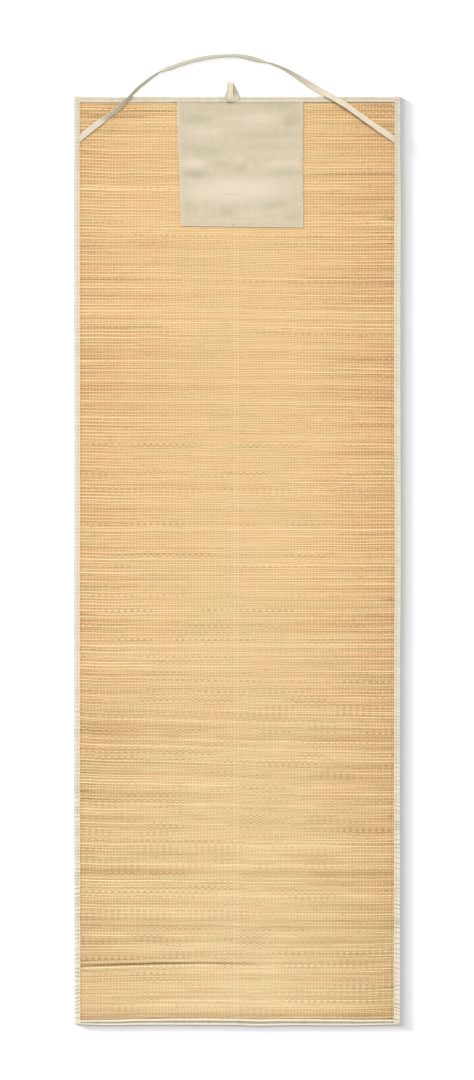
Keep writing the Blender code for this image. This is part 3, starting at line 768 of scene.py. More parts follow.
for layer, (unit, unit_x, unit_along, unit_rise, places, facts) in layers.items():
    bands = WARP_BANDS[layer]
    ends = np.linspace(0, len(places), bands + 1).astype(int)
    for band in range(bands):
        band_places = np.concatenate(places[ends[band] : ends[band + 1]])
        band_facts = np.concatenate(facts[ends[band] : ends[band + 1]])
        one = np.ones(band_places.shape[:2])
        values = {"shade": band_facts[:, :1] * one, "centre": band_facts[:, 1:] * one}
        warp = repeat_mesh(unit, f"warp_{layer}_{band + 1}", band_places, values)
        warp.data.materials.append(cotton)
        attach(warp, "root")
        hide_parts("straw_panel")
bpy.data.objects.remove(bead)
bpy.data.objects.remove(under_bead)

# Edge tapes
# Unbleached cotton tape folded over each edge of the straw and sewn through with one line of
# stitches. The side tapes run the whole length, over the ends of the head and foot tapes.
TAPE_TOP = 0.0038
# Each seam: its middle and half its width as shares of the tape's, how deep, and how strong its
# painted shade and highlight
SIDE_SEAM = (0.65, 0.10, 0.00030, 0.12)
HEAD_SEAM = (0.45, 0.12, 0.00022, 0.14)
FOOT_SEAM = (0.48, 0.17, 0.00085, 1.00)
FLAP_LIFT = 0.0013
LIFT_SLOPE = 0.009
# Where the strap or the patch lies under a tape and lifts its flap: first and last place along it
LIFTED = {"left": (0.7575, 0.7845), "right": (0.7570, 0.7820), "head": (-0.1125, 0.1228)}
# The side tapes stand higher over the ends of the head and foot tapes, which dip a little there
CORNER_LENGTH = 0.013
CORNER_LIFT = 0.0005
CORNER_SLOPE = 0.004
END_TAPE_TUCK = 0.0015
END_TAPE_PITCH = 0.0032
END_DROP = 0.0002
# Root ends show through the side tapes as ribs: how high near the foot and the head, how far they
# slant, how far apart they are at places along the tape, and how wide the creases between them
RIB_FOOT = 0.00042
RIB_HEAD = 0.00018
RIB_SLANT = 0.18
RIB_GAPS = [(-0.72, 0.0054), (-0.45, 0.0048), (0.10, 0.0026)]
RIB_TROUGH = 0.0016
RIB_SHADE = 0.9
RIB_SHADE_DEEP = 0.00030
STITCH_PITCH = 0.0034
STITCH_LENGTH = 0.0027
STITCH_WIDTH = 0.0006
STITCH_THICK = 0.0004
TAPE_SHARP = math.radians(50)
CLOTH_ROUGHNESS = 0.88
# The side tapes are drawn in at their ends, and the right one has a turned-in fold near the foot
ENDS_DRAWN = 0.0006
ENDS_ROUND = 0.0008
ENDS_THINNER = 0.375
INSIDE_SHUT = 0.96
TURNED_END = 0.0032
TURNED_DEEP = 0.0004
TURNED_SHADE = 1.6
# Points of the tape's section: on the lower seam and both sides of the upper one, how much painted
# shade those in the furrow take and how much painted highlight those on the ridges beside it, those
# on top, and those inside
SEAM_POINTS = (9, 22, 23)
SEAM_PAINTED_LIGHT_AND_SHADE = {19: -0.5, 20: -0.3, 21: 0.55, 22: 1.0, 23: 1.0, 24: 0.55, 25: -0.8, 26: -0.2}
TOP_POINTS = slice(17, 28)
INSIDE_POINTS = slice(0, 5)


def raised(zone, places):
    """1 inside a lifted zone, 0 well outside it, with a smooth slope at each end."""
    if zone is None:
        return np.zeros(len(places))
    rise = smooth((places - zone[0] + LIFT_SLOPE) / LIFT_SLOPE)
    return rise * smooth((zone[1] + LIFT_SLOPE - places) / LIFT_SLOPE)


def cloth_piece(name, points, faces, marks, inside_out=False):
    """A piece of cloth from its points, faces and each corner's place on the cloth, in metres."""
    mesh = bpy.data.meshes.new(name)
    mesh.from_pydata(points.tolist(), [], faces)
    flat_places = mesh.uv_layers.new(name="cloth_metres").data
    flat_places.foreach_set("uv", np.array(marks, np.float32).ravel())
    if inside_out:
        mesh.flip_normals()
    mesh.shade_smooth()
    mesh.set_sharp_from_angle(angle=TAPE_SHARP)
    return placed(name, mesh)


def points_inwards(rings):
    """Whether a shell's faces point inwards, from one of its sections and the way it goes."""
    middle = len(rings) // 2
    ring, onward = rings[middle], rings[(middle + 1) % len(rings)]
    spokes = ring - ring.mean(axis=0)
    area = np.cross(spokes, np.roll(spokes, -1, axis=0)).sum(axis=0)
    return float(area @ (onward.mean(axis=0) - ring.mean(axis=0))) < 0.0


def shell(name, rings, along_marks, closed=False):
    """A body through rings of points, with its places on the cloth round the section and along."""
    count, size = rings.shape[:2]
    steps = np.linalg.norm(np.roll(rings, -1, axis=1) - rings, axis=2).mean(axis=0)
    around = np.concatenate([[0.0], np.cumsum(steps)])
    faces, marks = [], []
    for ring in range(count if closed else count - 1):
        near, far = ring * size, (ring + 1) % count * size
        first, last = along_marks[ring], along_marks[ring + 1]
        for point in range(size):
            beside = (point + 1) % size
            low, high = around[point], around[point + 1]
            faces.append((near + point, near + beside, far + beside, far + point))
            marks += [(low, first), (high, first), (high, last), (low, last)]
    if not closed:
        faces.append(tuple(reversed(range(size))))
        faces.append(tuple(range((count - 1) * size, count * size)))
        for end in (rings[0][::-1], rings[-1]):
            marks += [(point[0] + point[1], point[2]) for point in end]
    return cloth_piece(name, rings.reshape(-1, 3), faces, marks, points_inwards(rings))


def tape_section(width, lift, bulge, rib, seam_share, half_share, deep):
    """A tape's section at each station, as inward places and heights: from the upper flap's inner
    fold under it to the straw's edge, back along the lower flap, and round the outside."""
    seam = seam_share * width
    half = half_share * width
    flat = seam - half
    top = TAPE_TOP + lift
    roll = 0.6 * bulge + 0.5 * rib
    section = [
        (width - 0.0001, TAPE_TOP - 0.0009 + lift),
        (0.38 * width, TAPE_TOP - 0.0010 + lift),
        (0.0011, 0.0028),
        (0.0011, 0.0010),
        (width - 0.0001, 0.0010),
        (width, 0.00075),
        (width, 0.00025),
        (width - 0.00035, 0.0),
        (seam + 0.0010, 0.0),
        (seam, 0.0003),
        (seam - 0.0010, 0.0),
        (0.0012, 0.0),
        (0.00055, 0.0002),
        (0.00012, 0.0007),
        (0.0, 0.0014),
        (0.0, 0.0024),
        (0.00010, 0.0032),
        (0.00045, 0.00370),
        (0.0010, TAPE_TOP + 0.05 * bulge + 0.3 * rib + 0.12 * lift),
        (0.50 * flat, top + bulge + rib - 0.45 * lift),
        (0.85 * flat, top + 0.9 * bulge + rib),
        (seam - half, top + 0.4 * rib),
        (seam - 0.4 * half, top - deep + 0.3 * rib),
        (seam + 0.4 * half, top - deep + 0.3 * rib),
        (seam + half, top + 0.4 * rib),
        ((seam + half + width) / 2, top + roll),
        (width - 0.0007, top - 0.00005 + 0.8 * roll),
        (width - 0.0002, top - 0.0003),
        (width, top - 0.0006),
    ]
    level = np.zeros(len(width))
    inward = np.stack([level + place for place, height in section], axis=1)
    height = np.stack([level + height for place, height in section], axis=1)
    return inward, height


def tape_piece(name, axis, side, places, outer, inner, zone, seam, rib, corner, slant, turned):
    """A tape along an edge. axis is the one across it, and side is -1 or 1 along that axis. Its ribs,
    its corners, the slant of its ribs and the turned-in fold are given at places along it."""
    wander = 0.00012 * np.sin(places * 97.0 + axis) + 0.00010 * np.sin(places * 41.0 + side)
    width = np.abs(outer - inner) + wander
    bulge = 0.00022 + 0.00006 * np.sin(places * 53.0 + side) + 0.00005 * np.sin(places * 171.0)
    lift = FLAP_LIFT * raised(zone, places) + corner
    *shares_and_depth, tone = seam
    inward, height = tape_section(width, lift, bulge, rib, *shares_and_depth)
    ends = np.minimum(places - places[0], places[-1] - places)
    drawn = ENDS_DRAWN * np.sqrt(np.clip(1.0 - ends / ENDS_ROUND, 0.0, 1.0))[:, None] if axis == 0 else 0.0
    middle = TAPE_TOP / 2
    height = middle + (height - middle) * (1.0 - ENDS_THINNER * drawn / ENDS_DRAWN)
    turned_in = turned[:, None] * (inward[:, TOP_POINTS] < 0.6 * width[:, None])
    height[:, TOP_POINTS] -= TURNED_DEEP * turned_in
    inward = inward + drawn * np.where(inward < 0.004, 1.0, -1.0)
    if axis == 0:
        shut = smooth(1.0 - ends / TAPE_WALL)[:, None]
        height[:, INSIDE_POINTS] += (middle - height[:, INSIDE_POINTS]) * INSIDE_SHUT * shut
    rings = np.empty((*inward.shape, 3))
    rings[:, :, axis] = outer[:, None] - side * inward
    rings[:, :, 1 - axis] = places[:, None] + slant[:, None] * (inward - width[:, None] / 2)
    rings[:, :, 2] = height
    made = shell(name, rings, places - places[0])
    # Painted shade in the seam's furrow, the troughs between ribs and the turned-in fold, and painted
    # highlight on the ridges beside the seam
    painted_tape_light_and_shade = np.zeros(inward.shape)
    for point, amount in SEAM_PAINTED_LIGHT_AND_SHADE.items():
        painted_tape_light_and_shade[:, point] = amount * tone
    in_trough = np.clip(-rib / RIB_SHADE_DEEP, 0.0, 1.0)[:, None]
    painted_tape_light_and_shade[:, TOP_POINTS] += RIB_SHADE * in_trough + TURNED_SHADE * turned_in
    give_values(made.data, "painted_tape_light_and_shade", painted_tape_light_and_shade)
    return made, rings


def with_ribs(edge_rows, first, last):
    """Stations on the root ends that stand out under the tape, and on the creases between them, and
    how high each stands: 1, or -0.6 in a crease. They lie close at the ends, which are drawn in."""
    crests = []
    for row in np.sort(edge_rows[(edge_rows > first + 0.004) & (edge_rows < last - 0.004)]):
        gap = np.interp(row, *zip(*RIB_GAPS)) * chance.uniform(0.55, 1.45)
        if not crests or row - crests[-1] > gap:
            crests.append(row)
    crests = np.array(crests)
    troughs = (crests[1:] + crests[:-1]) / 2
    wide = np.diff(crests) > 4 * RIB_TROUGH
    narrow, wide = troughs[~wide], troughs[wide]
    creases = np.concatenate([narrow, wide - 0.3 * RIB_TROUGH, wide + 0.3 * RIB_TROUGH])
    banks = np.concatenate([wide - RIB_TROUGH, wide + RIB_TROUGH])
    steps = np.array([0.0, 0.0002, 0.0005, 0.0010, 0.0020, 0.0026, 0.0032, 0.0038])
    ends = np.concatenate([first + steps, last - steps])
    places = np.concatenate([crests, creases, banks, ends])
    levels = np.repeat([1.0, -0.6, 0.3, 0.0], [len(crests), len(creases), len(banks), len(ends)])
    order = np.argsort(places)
    return places[order], levels[order]


tapes = []
for edge, node, side in (("left", "binding_left", -1), ("right", "binding_right", 1)):
    lines = edges[edge]
    roots = row_y[root_sides == side][:, 1 if side < 0 else -2]
    places, ribs = with_ribs(roots, lines["places"].min(), lines["places"].max())
    outer, inner = (np.interp(places, lines["places"][2:-2], lines[key][2:-2]) for key in ("outer", "inner"))
    near_foot = smooth((-0.1 - places) / 0.6)
    uneven = 0.80 + 0.15 * np.sin(places * 37.0 + side) + 0.20 * np.sin(places * 170.0 + 2.0 * side)
    rib = ribs * (RIB_HEAD + (RIB_FOOT - RIB_HEAD) * near_foot) * uneven
    from_end = np.minimum(places - places[0], places[-1] - places)
    corner = CORNER_LIFT * smooth((CORNER_LENGTH + CORNER_SLOPE - from_end) / CORNER_SLOPE)
    slant = RIB_SLANT * (0.7 + np.sin(places * 67.0 + side)) * near_foot * smooth((from_end - 0.006) / 0.02)
    turned = bell(places - places[0] - TURNED_END, 0.0005) * (side > 0)
    strip = {"places": places, "outer": outer, "inner": inner, "zone": LIFTED[edge], "seam": SIDE_SEAM}
    shape = {"rib": rib, "corner": corner, "slant": slant, "turned": turned}
    made = tape_piece(f"side_tape_{edge}", axis=0, side=side, **strip, **shape)
    tapes.append((node, places[-1] - places[0], *made))
for edge, node, side, seam in (
    ("head", "binding_top", 1, HEAD_SEAM),
    ("foot", "binding_bottom", -1, FOOT_SEAM),
):
    lines = edges[edge]
    first, last = lines["places"].min() - END_TAPE_TUCK, lines["places"].max() + END_TAPE_TUCK
    places = np.linspace(first, last, int((last - first) / END_TAPE_PITCH))
    rib = 0.00003 * chance.normal(size=len(places))
    from_end = np.minimum(places - places[0], places[-1] - places)
    corner = -END_DROP * smooth((0.004 - from_end) / 0.003)
    level = np.zeros(len(places))
    outer, inner = edge_at(edge, "outer", places), edge_at(edge, "inner", places)
    strip = {"places": places, "outer": outer, "inner": inner, "zone": LIFTED.get(edge), "seam": seam}
    shape = {"rib": rib, "corner": corner, "slant": level, "turned": level}
    made = tape_piece(f"{edge}_tape", axis=1, side=side, **strip, **shape)
    tapes.append((node, places[-1] - places[0], *made))

# The cloth's plain weave, read from a place in metres
weave = bpy.data.node_groups.new("plain_weave", "ShaderNodeTree")
for name, way, kind in (
    ("Place", "INPUT", "NodeSocketVector"),
    ("Threads", "INPUT", "NodeSocketFloat"),
    ("Height", "OUTPUT", "NodeSocketFloat"),
    ("Shade", "OUTPUT", "NodeSocketFloat"),
):
    weave.interface.new_socket(name, in_out=way, socket_type=kind)
place, threads = weave.nodes.new("NodeGroupInput").outputs[:2]
drift = put(weave, "ShaderNodeTexNoise", {"Vector": place, "Scale": 160.0, "Detail": 1.0}).outputs["Color"]
drift = scaled(weave, drift, 0.0009)
moved = put(weave, "ShaderNodeVectorMath", {0: place, 1: drift}, operation="ADD").outputs[0]
turned = scaled(weave, moved, worked(weave, "MULTIPLY", threads, math.pi))
x, y = put(weave, "ShaderNodeSeparateXYZ", {"Vector": turned}).outputs[:2]
crossing = worked(weave, "MULTIPLY", worked(weave, "SINE", x), worked(weave, "SINE", y))
height = worked(weave, "ABSOLUTE", crossing)
slubs_x = noise(weave, place, (2200.0, 60.0, 1.0), 1.0)
slubs_y = noise(weave, place, (60.0, 2200.0, 1.0), 1.0)
slubs = ramped(weave, worked(weave, "ADD", slubs_x, slubs_y), 0.7, 1.3, 0.93, 1.05)
shade = product(weave, slubs, (height, 0.0, 0.7, 0.86, 1.03))
feed(weave, weave.nodes.new("NodeGroupOutput"), {"Height": height, "Shade": shade})


def cloth(name, colour, dark_colour, threads):
    """Woven cotton: its weave in the colour and the bump, and soft uneven tone. Gives the material,
    its tree and shader, the colour, and the weave's height."""
    made, tree, shader = new_material(name, CLOTH_ROUGHNESS)
    spot = put(tree, "ShaderNodeUVMap", {}, uv_map="cloth_metres").outputs["UV"]
    woven = tree.nodes.new("ShaderNodeGroup")
    woven.node_tree = weave
    feed(tree, woven, {"Place": spot, "Threads": threads})
    uneven = noise(tree, object_place(tree), (70.0, 70.0, 70.0), 3.0)
    tint = mixed(tree, ramped(tree, uneven, 0.30, 0.75, 0.0, 1.0), (*dark_colour, 1.0), (*colour, 1.0))
    feed(tree, shader, {"Sheen Weight": 0.15, "Sheen Roughness": 0.6})
    return made, tree, shader, scaled(tree, tint, woven.outputs["Shade"]), woven.outputs["Height"]


tape_cloth, tree, shader, tint, height = cloth(
    "tape_cloth", (0.785, 0.692, 0.535), (0.725, 0.645, 0.495), 2200.0
)
painted_tape_light_and_shade = fact(tree, "painted_tape_light_and_shade")
x, y = put(tree, "ShaderNodeSeparateXYZ", {"Vector": object_place(tree)}).outputs[:2]
# Painted shade, deeper painted shade, and painted highlight
creases = [
    (ramped(tree, painted_tape_light_and_shade, 0.0, 1.0, 0.0, 1.0), (0.330, 0.280, 0.180)),
    (ramped(tree, painted_tape_light_and_shade, 1.0, 2.0, 0.0, 1.0), (0.120, 0.095, 0.055)),
    (ramped(tree, painted_tape_light_and_shade, 0.0, -1.0, 0.0, 0.80), (0.930, 0.840, 0.650)),
]
# Paler near the foot, greyer at the head, and lighter at the left
washes = [
    (ramped(tree, y, -0.35, -0.75, 0.0, 1.0), (1.015, 1.022, 1.052)),
    (ramped(tree, y, 0.60, 0.84, 0.0, 1.0), (0.905, 0.908, 0.915)),
    (ramped(tree, x, 0.0, -0.25, 0.0, 1.0), (1.050, 1.050, 1.055)),
]
tint = coated(tree, coated(tree, tint, creases), washes, "MULTIPLY")
feed(tree, shader, {"Base Color": tint, "Normal": bumped(tree, height, 0.7, 0.00012)})
for node, length, piece, rings in tapes:
    shadow_makers.objects.link(piece)
    piece.data.materials.append(tape_cloth)
    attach(piece, "root")
    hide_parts(node)

# One stitch is a short thread, thick in its middle, that dips into the cloth at both ends
bpy.ops.object.select_all(action="DESELECT")
bpy.ops.mesh.primitive_uv_sphere_add(segments=5, ring_count=4, radius=1.0)
stitch = bpy.context.object
bpy.ops.object.mode_set(mode="EDIT")
bpy.ops.mesh.select_all(action="SELECT")
turn_selected(90.0, "Y")
bpy.ops.object.mode_set(mode="OBJECT")

thread, tree, shader = new_material("sewing_thread", 0.7)
place = object_place(tree)
lint = noise(tree, place, (500.0, 500.0, 500.0))
colour = mixed(tree, lint, (0.620, 0.565, 0.430, 1.0), (0.730, 0.680, 0.550, 1.0))
ply = slanting_bands(tree, place, 900.0, 0.5)
feed(tree, shader, {"Base Color": colour, "Normal": bumped(tree, ply, 0.5, 0.00008)})


def length_marks(points):
    """How far along the line each point is."""
    return np.concatenate([[0.0], np.cumsum(np.linalg.norm(np.diff(points, axis=0), axis=1))])


def stitches_on(name, line, outwards):
    """Stitches at an even pitch along a line of points, on a surface that faces outwards."""
    outwards = np.broadcast_to(outwards, line.shape)
    marks = length_marks(line)
    spots = np.arange(STITCH_PITCH, marks[-1] - STITCH_PITCH / 2, STITCH_PITCH)
    spots = spots + chance.normal(0.0, 0.00012, len(spots))

    def read(rows, at):
        return np.stack([np.interp(at, marks, rows[:, i]) for i in range(3)], axis=1)

    middle = read(line, spots)
    travel = read(line, spots + 0.001) - middle
    travel /= np.linalg.norm(travel, axis=1)[:, None]
    outward = read(outwards, spots)
    aside = np.cross(outward, travel)
    aside /= np.linalg.norm(aside, axis=1)[:, None]
    size = chance.uniform(0.92, 1.08, len(spots))[:, None, None]
    unit_x, unit_y, unit_z = corners_of(stitch.data).T[:, None, :, None]
    reach = unit_x * STITCH_LENGTH / 2 * size
    wide = (unit_y * STITCH_WIDTH / 2) + 0.10 * reach
    deep = unit_z * STITCH_THICK / 2 - 0.0003 * np.abs(unit_x) ** 3
    places = middle[:, None] + travel[:, None] * reach + aside[:, None] * wide + outward[:, None] * deep
    made = repeat_mesh(stitch, name, places, {})
    made.data.materials.append(thread)
    return made


UP = np.array([0.0, 0.0, 1.0])
for node, length, piece, rings in tapes:
    upper = (rings[:, SEAM_POINTS[1]] + rings[:, SEAM_POINTS[2]]) / 2 + UP * 0.00022
    lower = rings[:, SEAM_POINTS[0]] - UP * 0.00008
    sewn_upper = stitches_on(piece.name + "_stitches", upper, UP)
    sewn_lower = stitches_on(piece.name + "_stitches_below", lower, -UP)
    for sewn in (sewn_upper, sewn_lower):
        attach(sewn, "root")

# Head patch
# A square of plain-woven cotton, hemmed at both sides and at its foot and sewn down through the
# hems. Its head edge is under the head tape. It lies in soft folds, with two or three creases.
PATCH_LEFT_HEAD = -0.1107
PATCH_LEFT_FOOT = -0.1034
PATCH_RIGHT = 0.1211
PATCH_FOOT_LEFT = 0.6136
PATCH_FOOT_RIGHT = 0.6103
PATCH_TUCK = 0.0045
PATCH_BOW = 0.0012
PATCH_LOW = 0.0033
PATCH_THICK = 0.0009
PATCH_ROUND = 0.0009
PATCH_LEAST = 0.0002
# Heights of its lower and upper face under the head tape
PATCH_TUCKED = (0.0029, 0.0038)
HEM_THICK = 0.00045
HEMS = {"left": 0.0120, "right": 0.0105, "foot": 0.0110}
HEM_STEP = 0.0012
HEM_SEAM = 0.0022
# The grid line that the seam lies on, counted from the edge
SEAM_LINE = 4
SEAM_DEEP = 0.00022
PUCKER_HIGH = 0.00016
# Puckers lighter where they rise and darker where they sink: painted light and shade
PUCKER_PAINTED_SHADE = 0.18
PATCH_LINES = 84
MAT_HEAD = 0.8512
HEAD_FLAP = 0.0102
DEEPEST_FOLD = -0.00035

# Soft folds that show on the patch: middle x and y, half lengths, turn in degrees, height
PATCH_FOLDS = [
    (-0.062, 0.815, 0.045, 0.0120, 0.0, -0.00050), (0.096, 0.812, 0.026, 0.0180, 35.0, -0.00050),
    (0.010, 0.786, 0.110, 0.0080, 1.0, 0.00045), (0.000, 0.756, 0.115, 0.0110, -2.0, -0.00050),
    (-0.066, 0.730, 0.040, 0.0080, 4.0, 0.00045), (-0.073, 0.706, 0.028, 0.0070, -3.0, -0.00050),
    (0.008, 0.714, 0.034, 0.0085, 38.0, -0.00050), (-0.018, 0.668, 0.060, 0.0300, 10.0, 0.00055),
    (-0.021, 0.635, 0.016, 0.0120, 0.0, -0.00035), (0.068, 0.656, 0.030, 0.0100, 24.0, -0.00040),
    (-0.012, 0.670, 0.018, 0.0016, 2.0, -0.00030), (0.052, 0.740, 0.030, 0.0070, -20.0, 0.00030),
]
# Painted light and shade of the patch's soft folds, painted shadows along the head tape's edge and
# under the loop, and one dark spot at the foot hem, in mm from the corner at the patch's left and
# the head tape's edge: right and down to the middle, half lengths, turn in degrees, and how much
# darker or lighter
PATCH_CORNER = (-0.1107, 0.8418)
PATCH_TONES = [
    (36.0, 32.0, 27.0, 9.0, 0.0, -0.50), (210.0, 35.0, 20.0, 14.0, 35.0, -0.60),
    (189.0, 7.0, 35.0, 6.5, 0.0, -0.40), (144.0, 30.0, 43.0, 13.0, 0.0, 0.35),
    (51.0, 56.0, 38.0, 11.0, 0.0, 0.30), (166.0, 61.0, 60.0, 8.0, 2.0, -0.35),
    (48.0, 90.0, 40.0, 10.0, -6.0, -0.45), (165.0, 84.0, 70.0, 6.0, 0.0, -0.20),
    (30.0, 114.0, 25.0, 9.0, -3.0, 0.55), (80.0, 114.0, 17.0, 8.0, -20.0, -0.35),
    (35.0, 134.0, 23.0, 7.0, -3.0, -0.75), (112.0, 105.0, 14.0, 5.0, 10.0, 0.30),
    (117.0, 124.0, 13.0, 8.0, 30.0, -0.40), (198.0, 131.0, 32.0, 7.5, 3.0, -0.45),
    (192.0, 114.0, 32.0, 7.0, 3.0, 0.40), (108.0, 162.0, 95.0, 22.0, 2.0, 0.62),
    (92.0, 171.0, 22.0, 1.4, 0.0, -0.50), (184.0, 189.0, 26.0, 6.5, 8.0, -0.50),
    (91.0, 202.0, 12.0, 10.0, 0.0, -0.45), (212.0, 211.0, 17.0, 13.0, 20.0, -0.35),
    (23.0, 193.0, 13.0, 9.0, -30.0, -0.30), (136.0, 208.0, 24.0, 8.0, 0.0, 0.20),
    (103.0, 227.5, 2.6, 1.6, 0.0, -1.40), (114.0, 2.0, 130.0, 4.0, 0.0, -0.55),
    (114.0, 14.0, 130.0, 12.0, 0.0, -0.20), (98.4, 1.5, 6.6, 1.5, 0.0, -2.30),
]


def spots_at(table, x, y):
    """The sum of soft round spots, each turned and drawn out, at arrays of places."""
    total = np.zeros(x.shape)
    for middle_x, middle_y, half_long, half_wide, turn, amount in table:
        turned = math.radians(turn)
        along_x = (x - middle_x) * math.cos(turned) + (y - middle_y) * math.sin(turned)
        along_y = (y - middle_y) * math.cos(turned) - (x - middle_x) * math.sin(turned)
        away = (along_x / half_long) ** 2 + (along_y / half_wide) ** 2
        total += amount * np.exp(-(away**1.7))
    return total


def hem_lines(hem):
    """Grid lines over a hem, from its fold: close together there, at its seam and at its step."""
    steps = [0.0, 0.0003, 0.0009, 0.0016, HEM_SEAM, 0.0030, 0.0055, 0.0080]
    return np.array([*steps, HEMS[hem] - HEM_STEP, HEMS[hem] - 0.0005, HEMS[hem]])


# The patch's grid: its rows from the foot to under the head tape, then each row's places
flap_line = MAT_HEAD - HEAD_FLAP
patch_foot = (PATCH_FOOT_LEFT + PATCH_FOOT_RIGHT) / 2
between = (np.arange(PATCH_LINES) + 1.0) / (PATCH_LINES + 1.0)
tucked = np.array([0.0020, 0.0012, 0.0004, -0.0008, PATCH_TUCK - HEAD_FLAP])
above_hem = patch_foot + HEMS["foot"]
inside = above_hem + (flap_line - tucked[0] - above_hem) * between
rows = np.concatenate([patch_foot + hem_lines("foot"), inside, flap_line - tucked])[:, None]
share = smooth((rows - patch_foot) / (MAT_HEAD - patch_foot))
left = PATCH_LEFT_FOOT + (PATCH_LEFT_HEAD - PATCH_LEFT_FOOT) * share + 0.0003 * np.sin(rows * 130.0)
right = PATCH_RIGHT - PATCH_BOW * np.sin(math.pi * share) + 0.0004 * np.sin(rows * 118.0 + 0.7)
inner, outer = left + HEMS["left"], right - HEMS["right"]
across = [left + hem_lines("left"), inner + (outer - inner) * between, right - hem_lines("right")[::-1]]
patch_x = np.concatenate(across, axis=1)
from_left, from_right = patch_x - left, right - patch_x
from_foot = rows - patch_foot + np.zeros(patch_x.shape)
slope = (PATCH_FOOT_RIGHT - PATCH_FOOT_LEFT) / (PATCH_RIGHT - PATCH_LEFT_FOOT)
off_middle = patch_x - (PATCH_LEFT_FOOT + PATCH_RIGHT) / 2
fade = 1.0 - smooth(from_foot / (flap_line - patch_foot))
patch_y = rows + (slope * off_middle + 0.0003 * np.sin(patch_x * 140.0)) * fade

# Its heights: hems with puckered seams, soft folds, and a head edge tucked under the tape
from_edges = {"left": from_left, "right": from_right, "foot": from_foot}
from_edge = np.minimum.reduce(list(from_edges.values()))
in_hem = np.maximum.reduce([smooth((HEMS[edge] - away) / HEM_STEP) for edge, away in from_edges.items()])
tucked_in = smooth((patch_y - (flap_line - 0.0020)) / 0.0024)
round_edge = np.sqrt(1.0 - (1.0 - from_edge / PATCH_ROUND).clip(0.0, 1.0) ** 2)
at_seam = bell(from_edge - HEM_SEAM, 0.0007) * (1.0 - tucked_in)
drawn = np.exp(-(((patch_y - 0.715) / 0.060) ** 4))
slanted = np.sin(patch_y * 720.0 + from_right * 500.0 + 1.5 * np.sin(patch_y * 130.0))
slanted *= 0.35 + 0.65 * np.clip(np.sin(patch_y * 97.0 + 1.0) + np.sin(patch_y * 61.0), 0.0, 1.0)
pucker = np.sin(patch_y * 1150.0) * bell(from_left - HEM_SEAM, 0.0030)
pucker += (0.4 + 1.1 * drawn) * slanted * bell(from_right - 0.0036, 0.0048)
pucker += np.sin(patch_x * 1100.0) * bell(from_foot - HEM_SEAM, 0.0030)
folds = np.maximum(spots_at(PATCH_FOLDS, patch_x, patch_y) * smooth(from_foot / 0.02), DEEPEST_FOLD)
folds += 0.00010 * np.sin(patch_x * 61.0 + patch_y * 143.0) * np.sin(patch_y * 37.0 - patch_x * 24.0)
top = PATCH_LOW + PATCH_THICK * (0.25 + 0.75 * round_edge) + HEM_THICK * in_hem * round_edge
top += folds * (1.0 - in_hem) + PUCKER_HIGH * pucker - SEAM_DEEP * at_seam
top += (PATCH_TUCKED[1] - top) * tucked_in
low = np.minimum(PATCH_LOW + (PATCH_TUCKED[0] - PATCH_LOW) * tucked_in, top - PATCH_LEAST)

# A closed sheet: its upper and lower grids, joined round the edge
upper = np.stack([patch_x, patch_y, top], axis=2)
points = np.concatenate([upper, np.stack([patch_x, patch_y, low], axis=2)]).reshape(-1, 3)
index = np.arange(patch_x.size).reshape(patch_x.shape)
squares = np.stack([index[:-1, :-1], index[:-1, 1:], index[1:, 1:], index[1:, :-1]], axis=2).reshape(-1, 4)
rim = np.concatenate([index[0, :], index[1:, -1], index[-1, -2::-1], index[-2:0:-1, 0]])
onward = np.roll(rim, -1)
sides = np.stack([onward, rim, rim + index.size, onward + index.size], axis=1)
faces = np.concatenate([squares, squares[:, ::-1] + index.size, sides])
patch = cloth_piece("patch", points, faces.tolist(), points[faces.ravel(), :2])
from_corner = (patch_x - PATCH_CORNER[0]) * 1000.0, (patch_y - PATCH_CORNER[1]) * 1000.0
# Painted light and shade from the table and from the puckers, and a lighter line along the left and foot
# edges
tone = 0.5 + 0.42 * spots_at([(right, -down, *rest) for right, down, *rest in PATCH_TONES], *from_corner)
tone += 0.45 * bell(np.minimum(from_left, from_foot), 0.0013) + PUCKER_PAINTED_SHADE * pucker
tone = np.clip(tone, -0.5, 1.0)
give_values(patch.data, "painted_shade_and_stain", [tone, tone])

patch_cloth, tree, shader, tint, height = cloth(
    "patch_cloth", (0.640, 0.550, 0.395), (0.600, 0.520, 0.375), 1700.0
)
painted_shade_and_stain = fact(tree, "painted_shade_and_stain")
place = object_place(tree)
lengthwise = ramped(tree, noise(tree, place, (420.0, 16.0, 1.0), 1.0), 0.3, 0.7, 0.965, 1.025)
crosswise = noise(tree, place, (20.0, 300.0, 1.0), 1.0)
tint = scaled(tree, tint, product(tree, lengthwise, (crosswise, 0.3, 0.7, 0.985, 1.015)))
# Painted shade and the dark spot, painted light, and the deepest painted shade
shade_and_stain_coats = [
    (ramped(tree, painted_shade_and_stain, 0.0, 0.5, 1.0, 0.0), (0.410, 0.358, 0.243)),
    (ramped(tree, painted_shade_and_stain, 0.5, 1.0, 0.0, 1.0), (0.800, 0.670, 0.530)),
    (ramped(tree, painted_shade_and_stain, -0.5, 0.0, 1.0, 0.0), (0.150, 0.125, 0.075)),
]
feed(tree, shader, {"Base Color": coated(tree, tint, shade_and_stain_coats), "Normal": bumped(tree, height, 0.7, 0.00012)})
patch.data.materials.append(patch_cloth)
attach(patch, "root")
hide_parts("head_patch")

sewn_lines = {
    "left": upper[SEAM_LINE + 1 : -6, SEAM_LINE],
    "right": upper[SEAM_LINE + 1 : -6, -SEAM_LINE - 1],
    "foot": upper[SEAM_LINE, SEAM_LINE:-SEAM_LINE],
}
for name, line in sewn_lines.items():
    sewn = stitches_on(f"patch_stitches_{name}", line + UP * 0.00010, UP)
    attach(sewn, "root")

# Carry strap
# Cotton tape folded in half lengthwise to 12 mm and sewn along its open edge. Its ends are under
# the side tapes. It lies flat there, rolls on to its edge, and shows its other face in the arch.
STRAP_WIDTH = 0.0120
STRAP_THICK = 0.0022
TUCKED_THICK = 0.0010
TUCKED_LOW = 0.0028
ON_STRAW = 0.0033
ON_TAPE = 0.0044
STRAP_PITCH = 0.0026
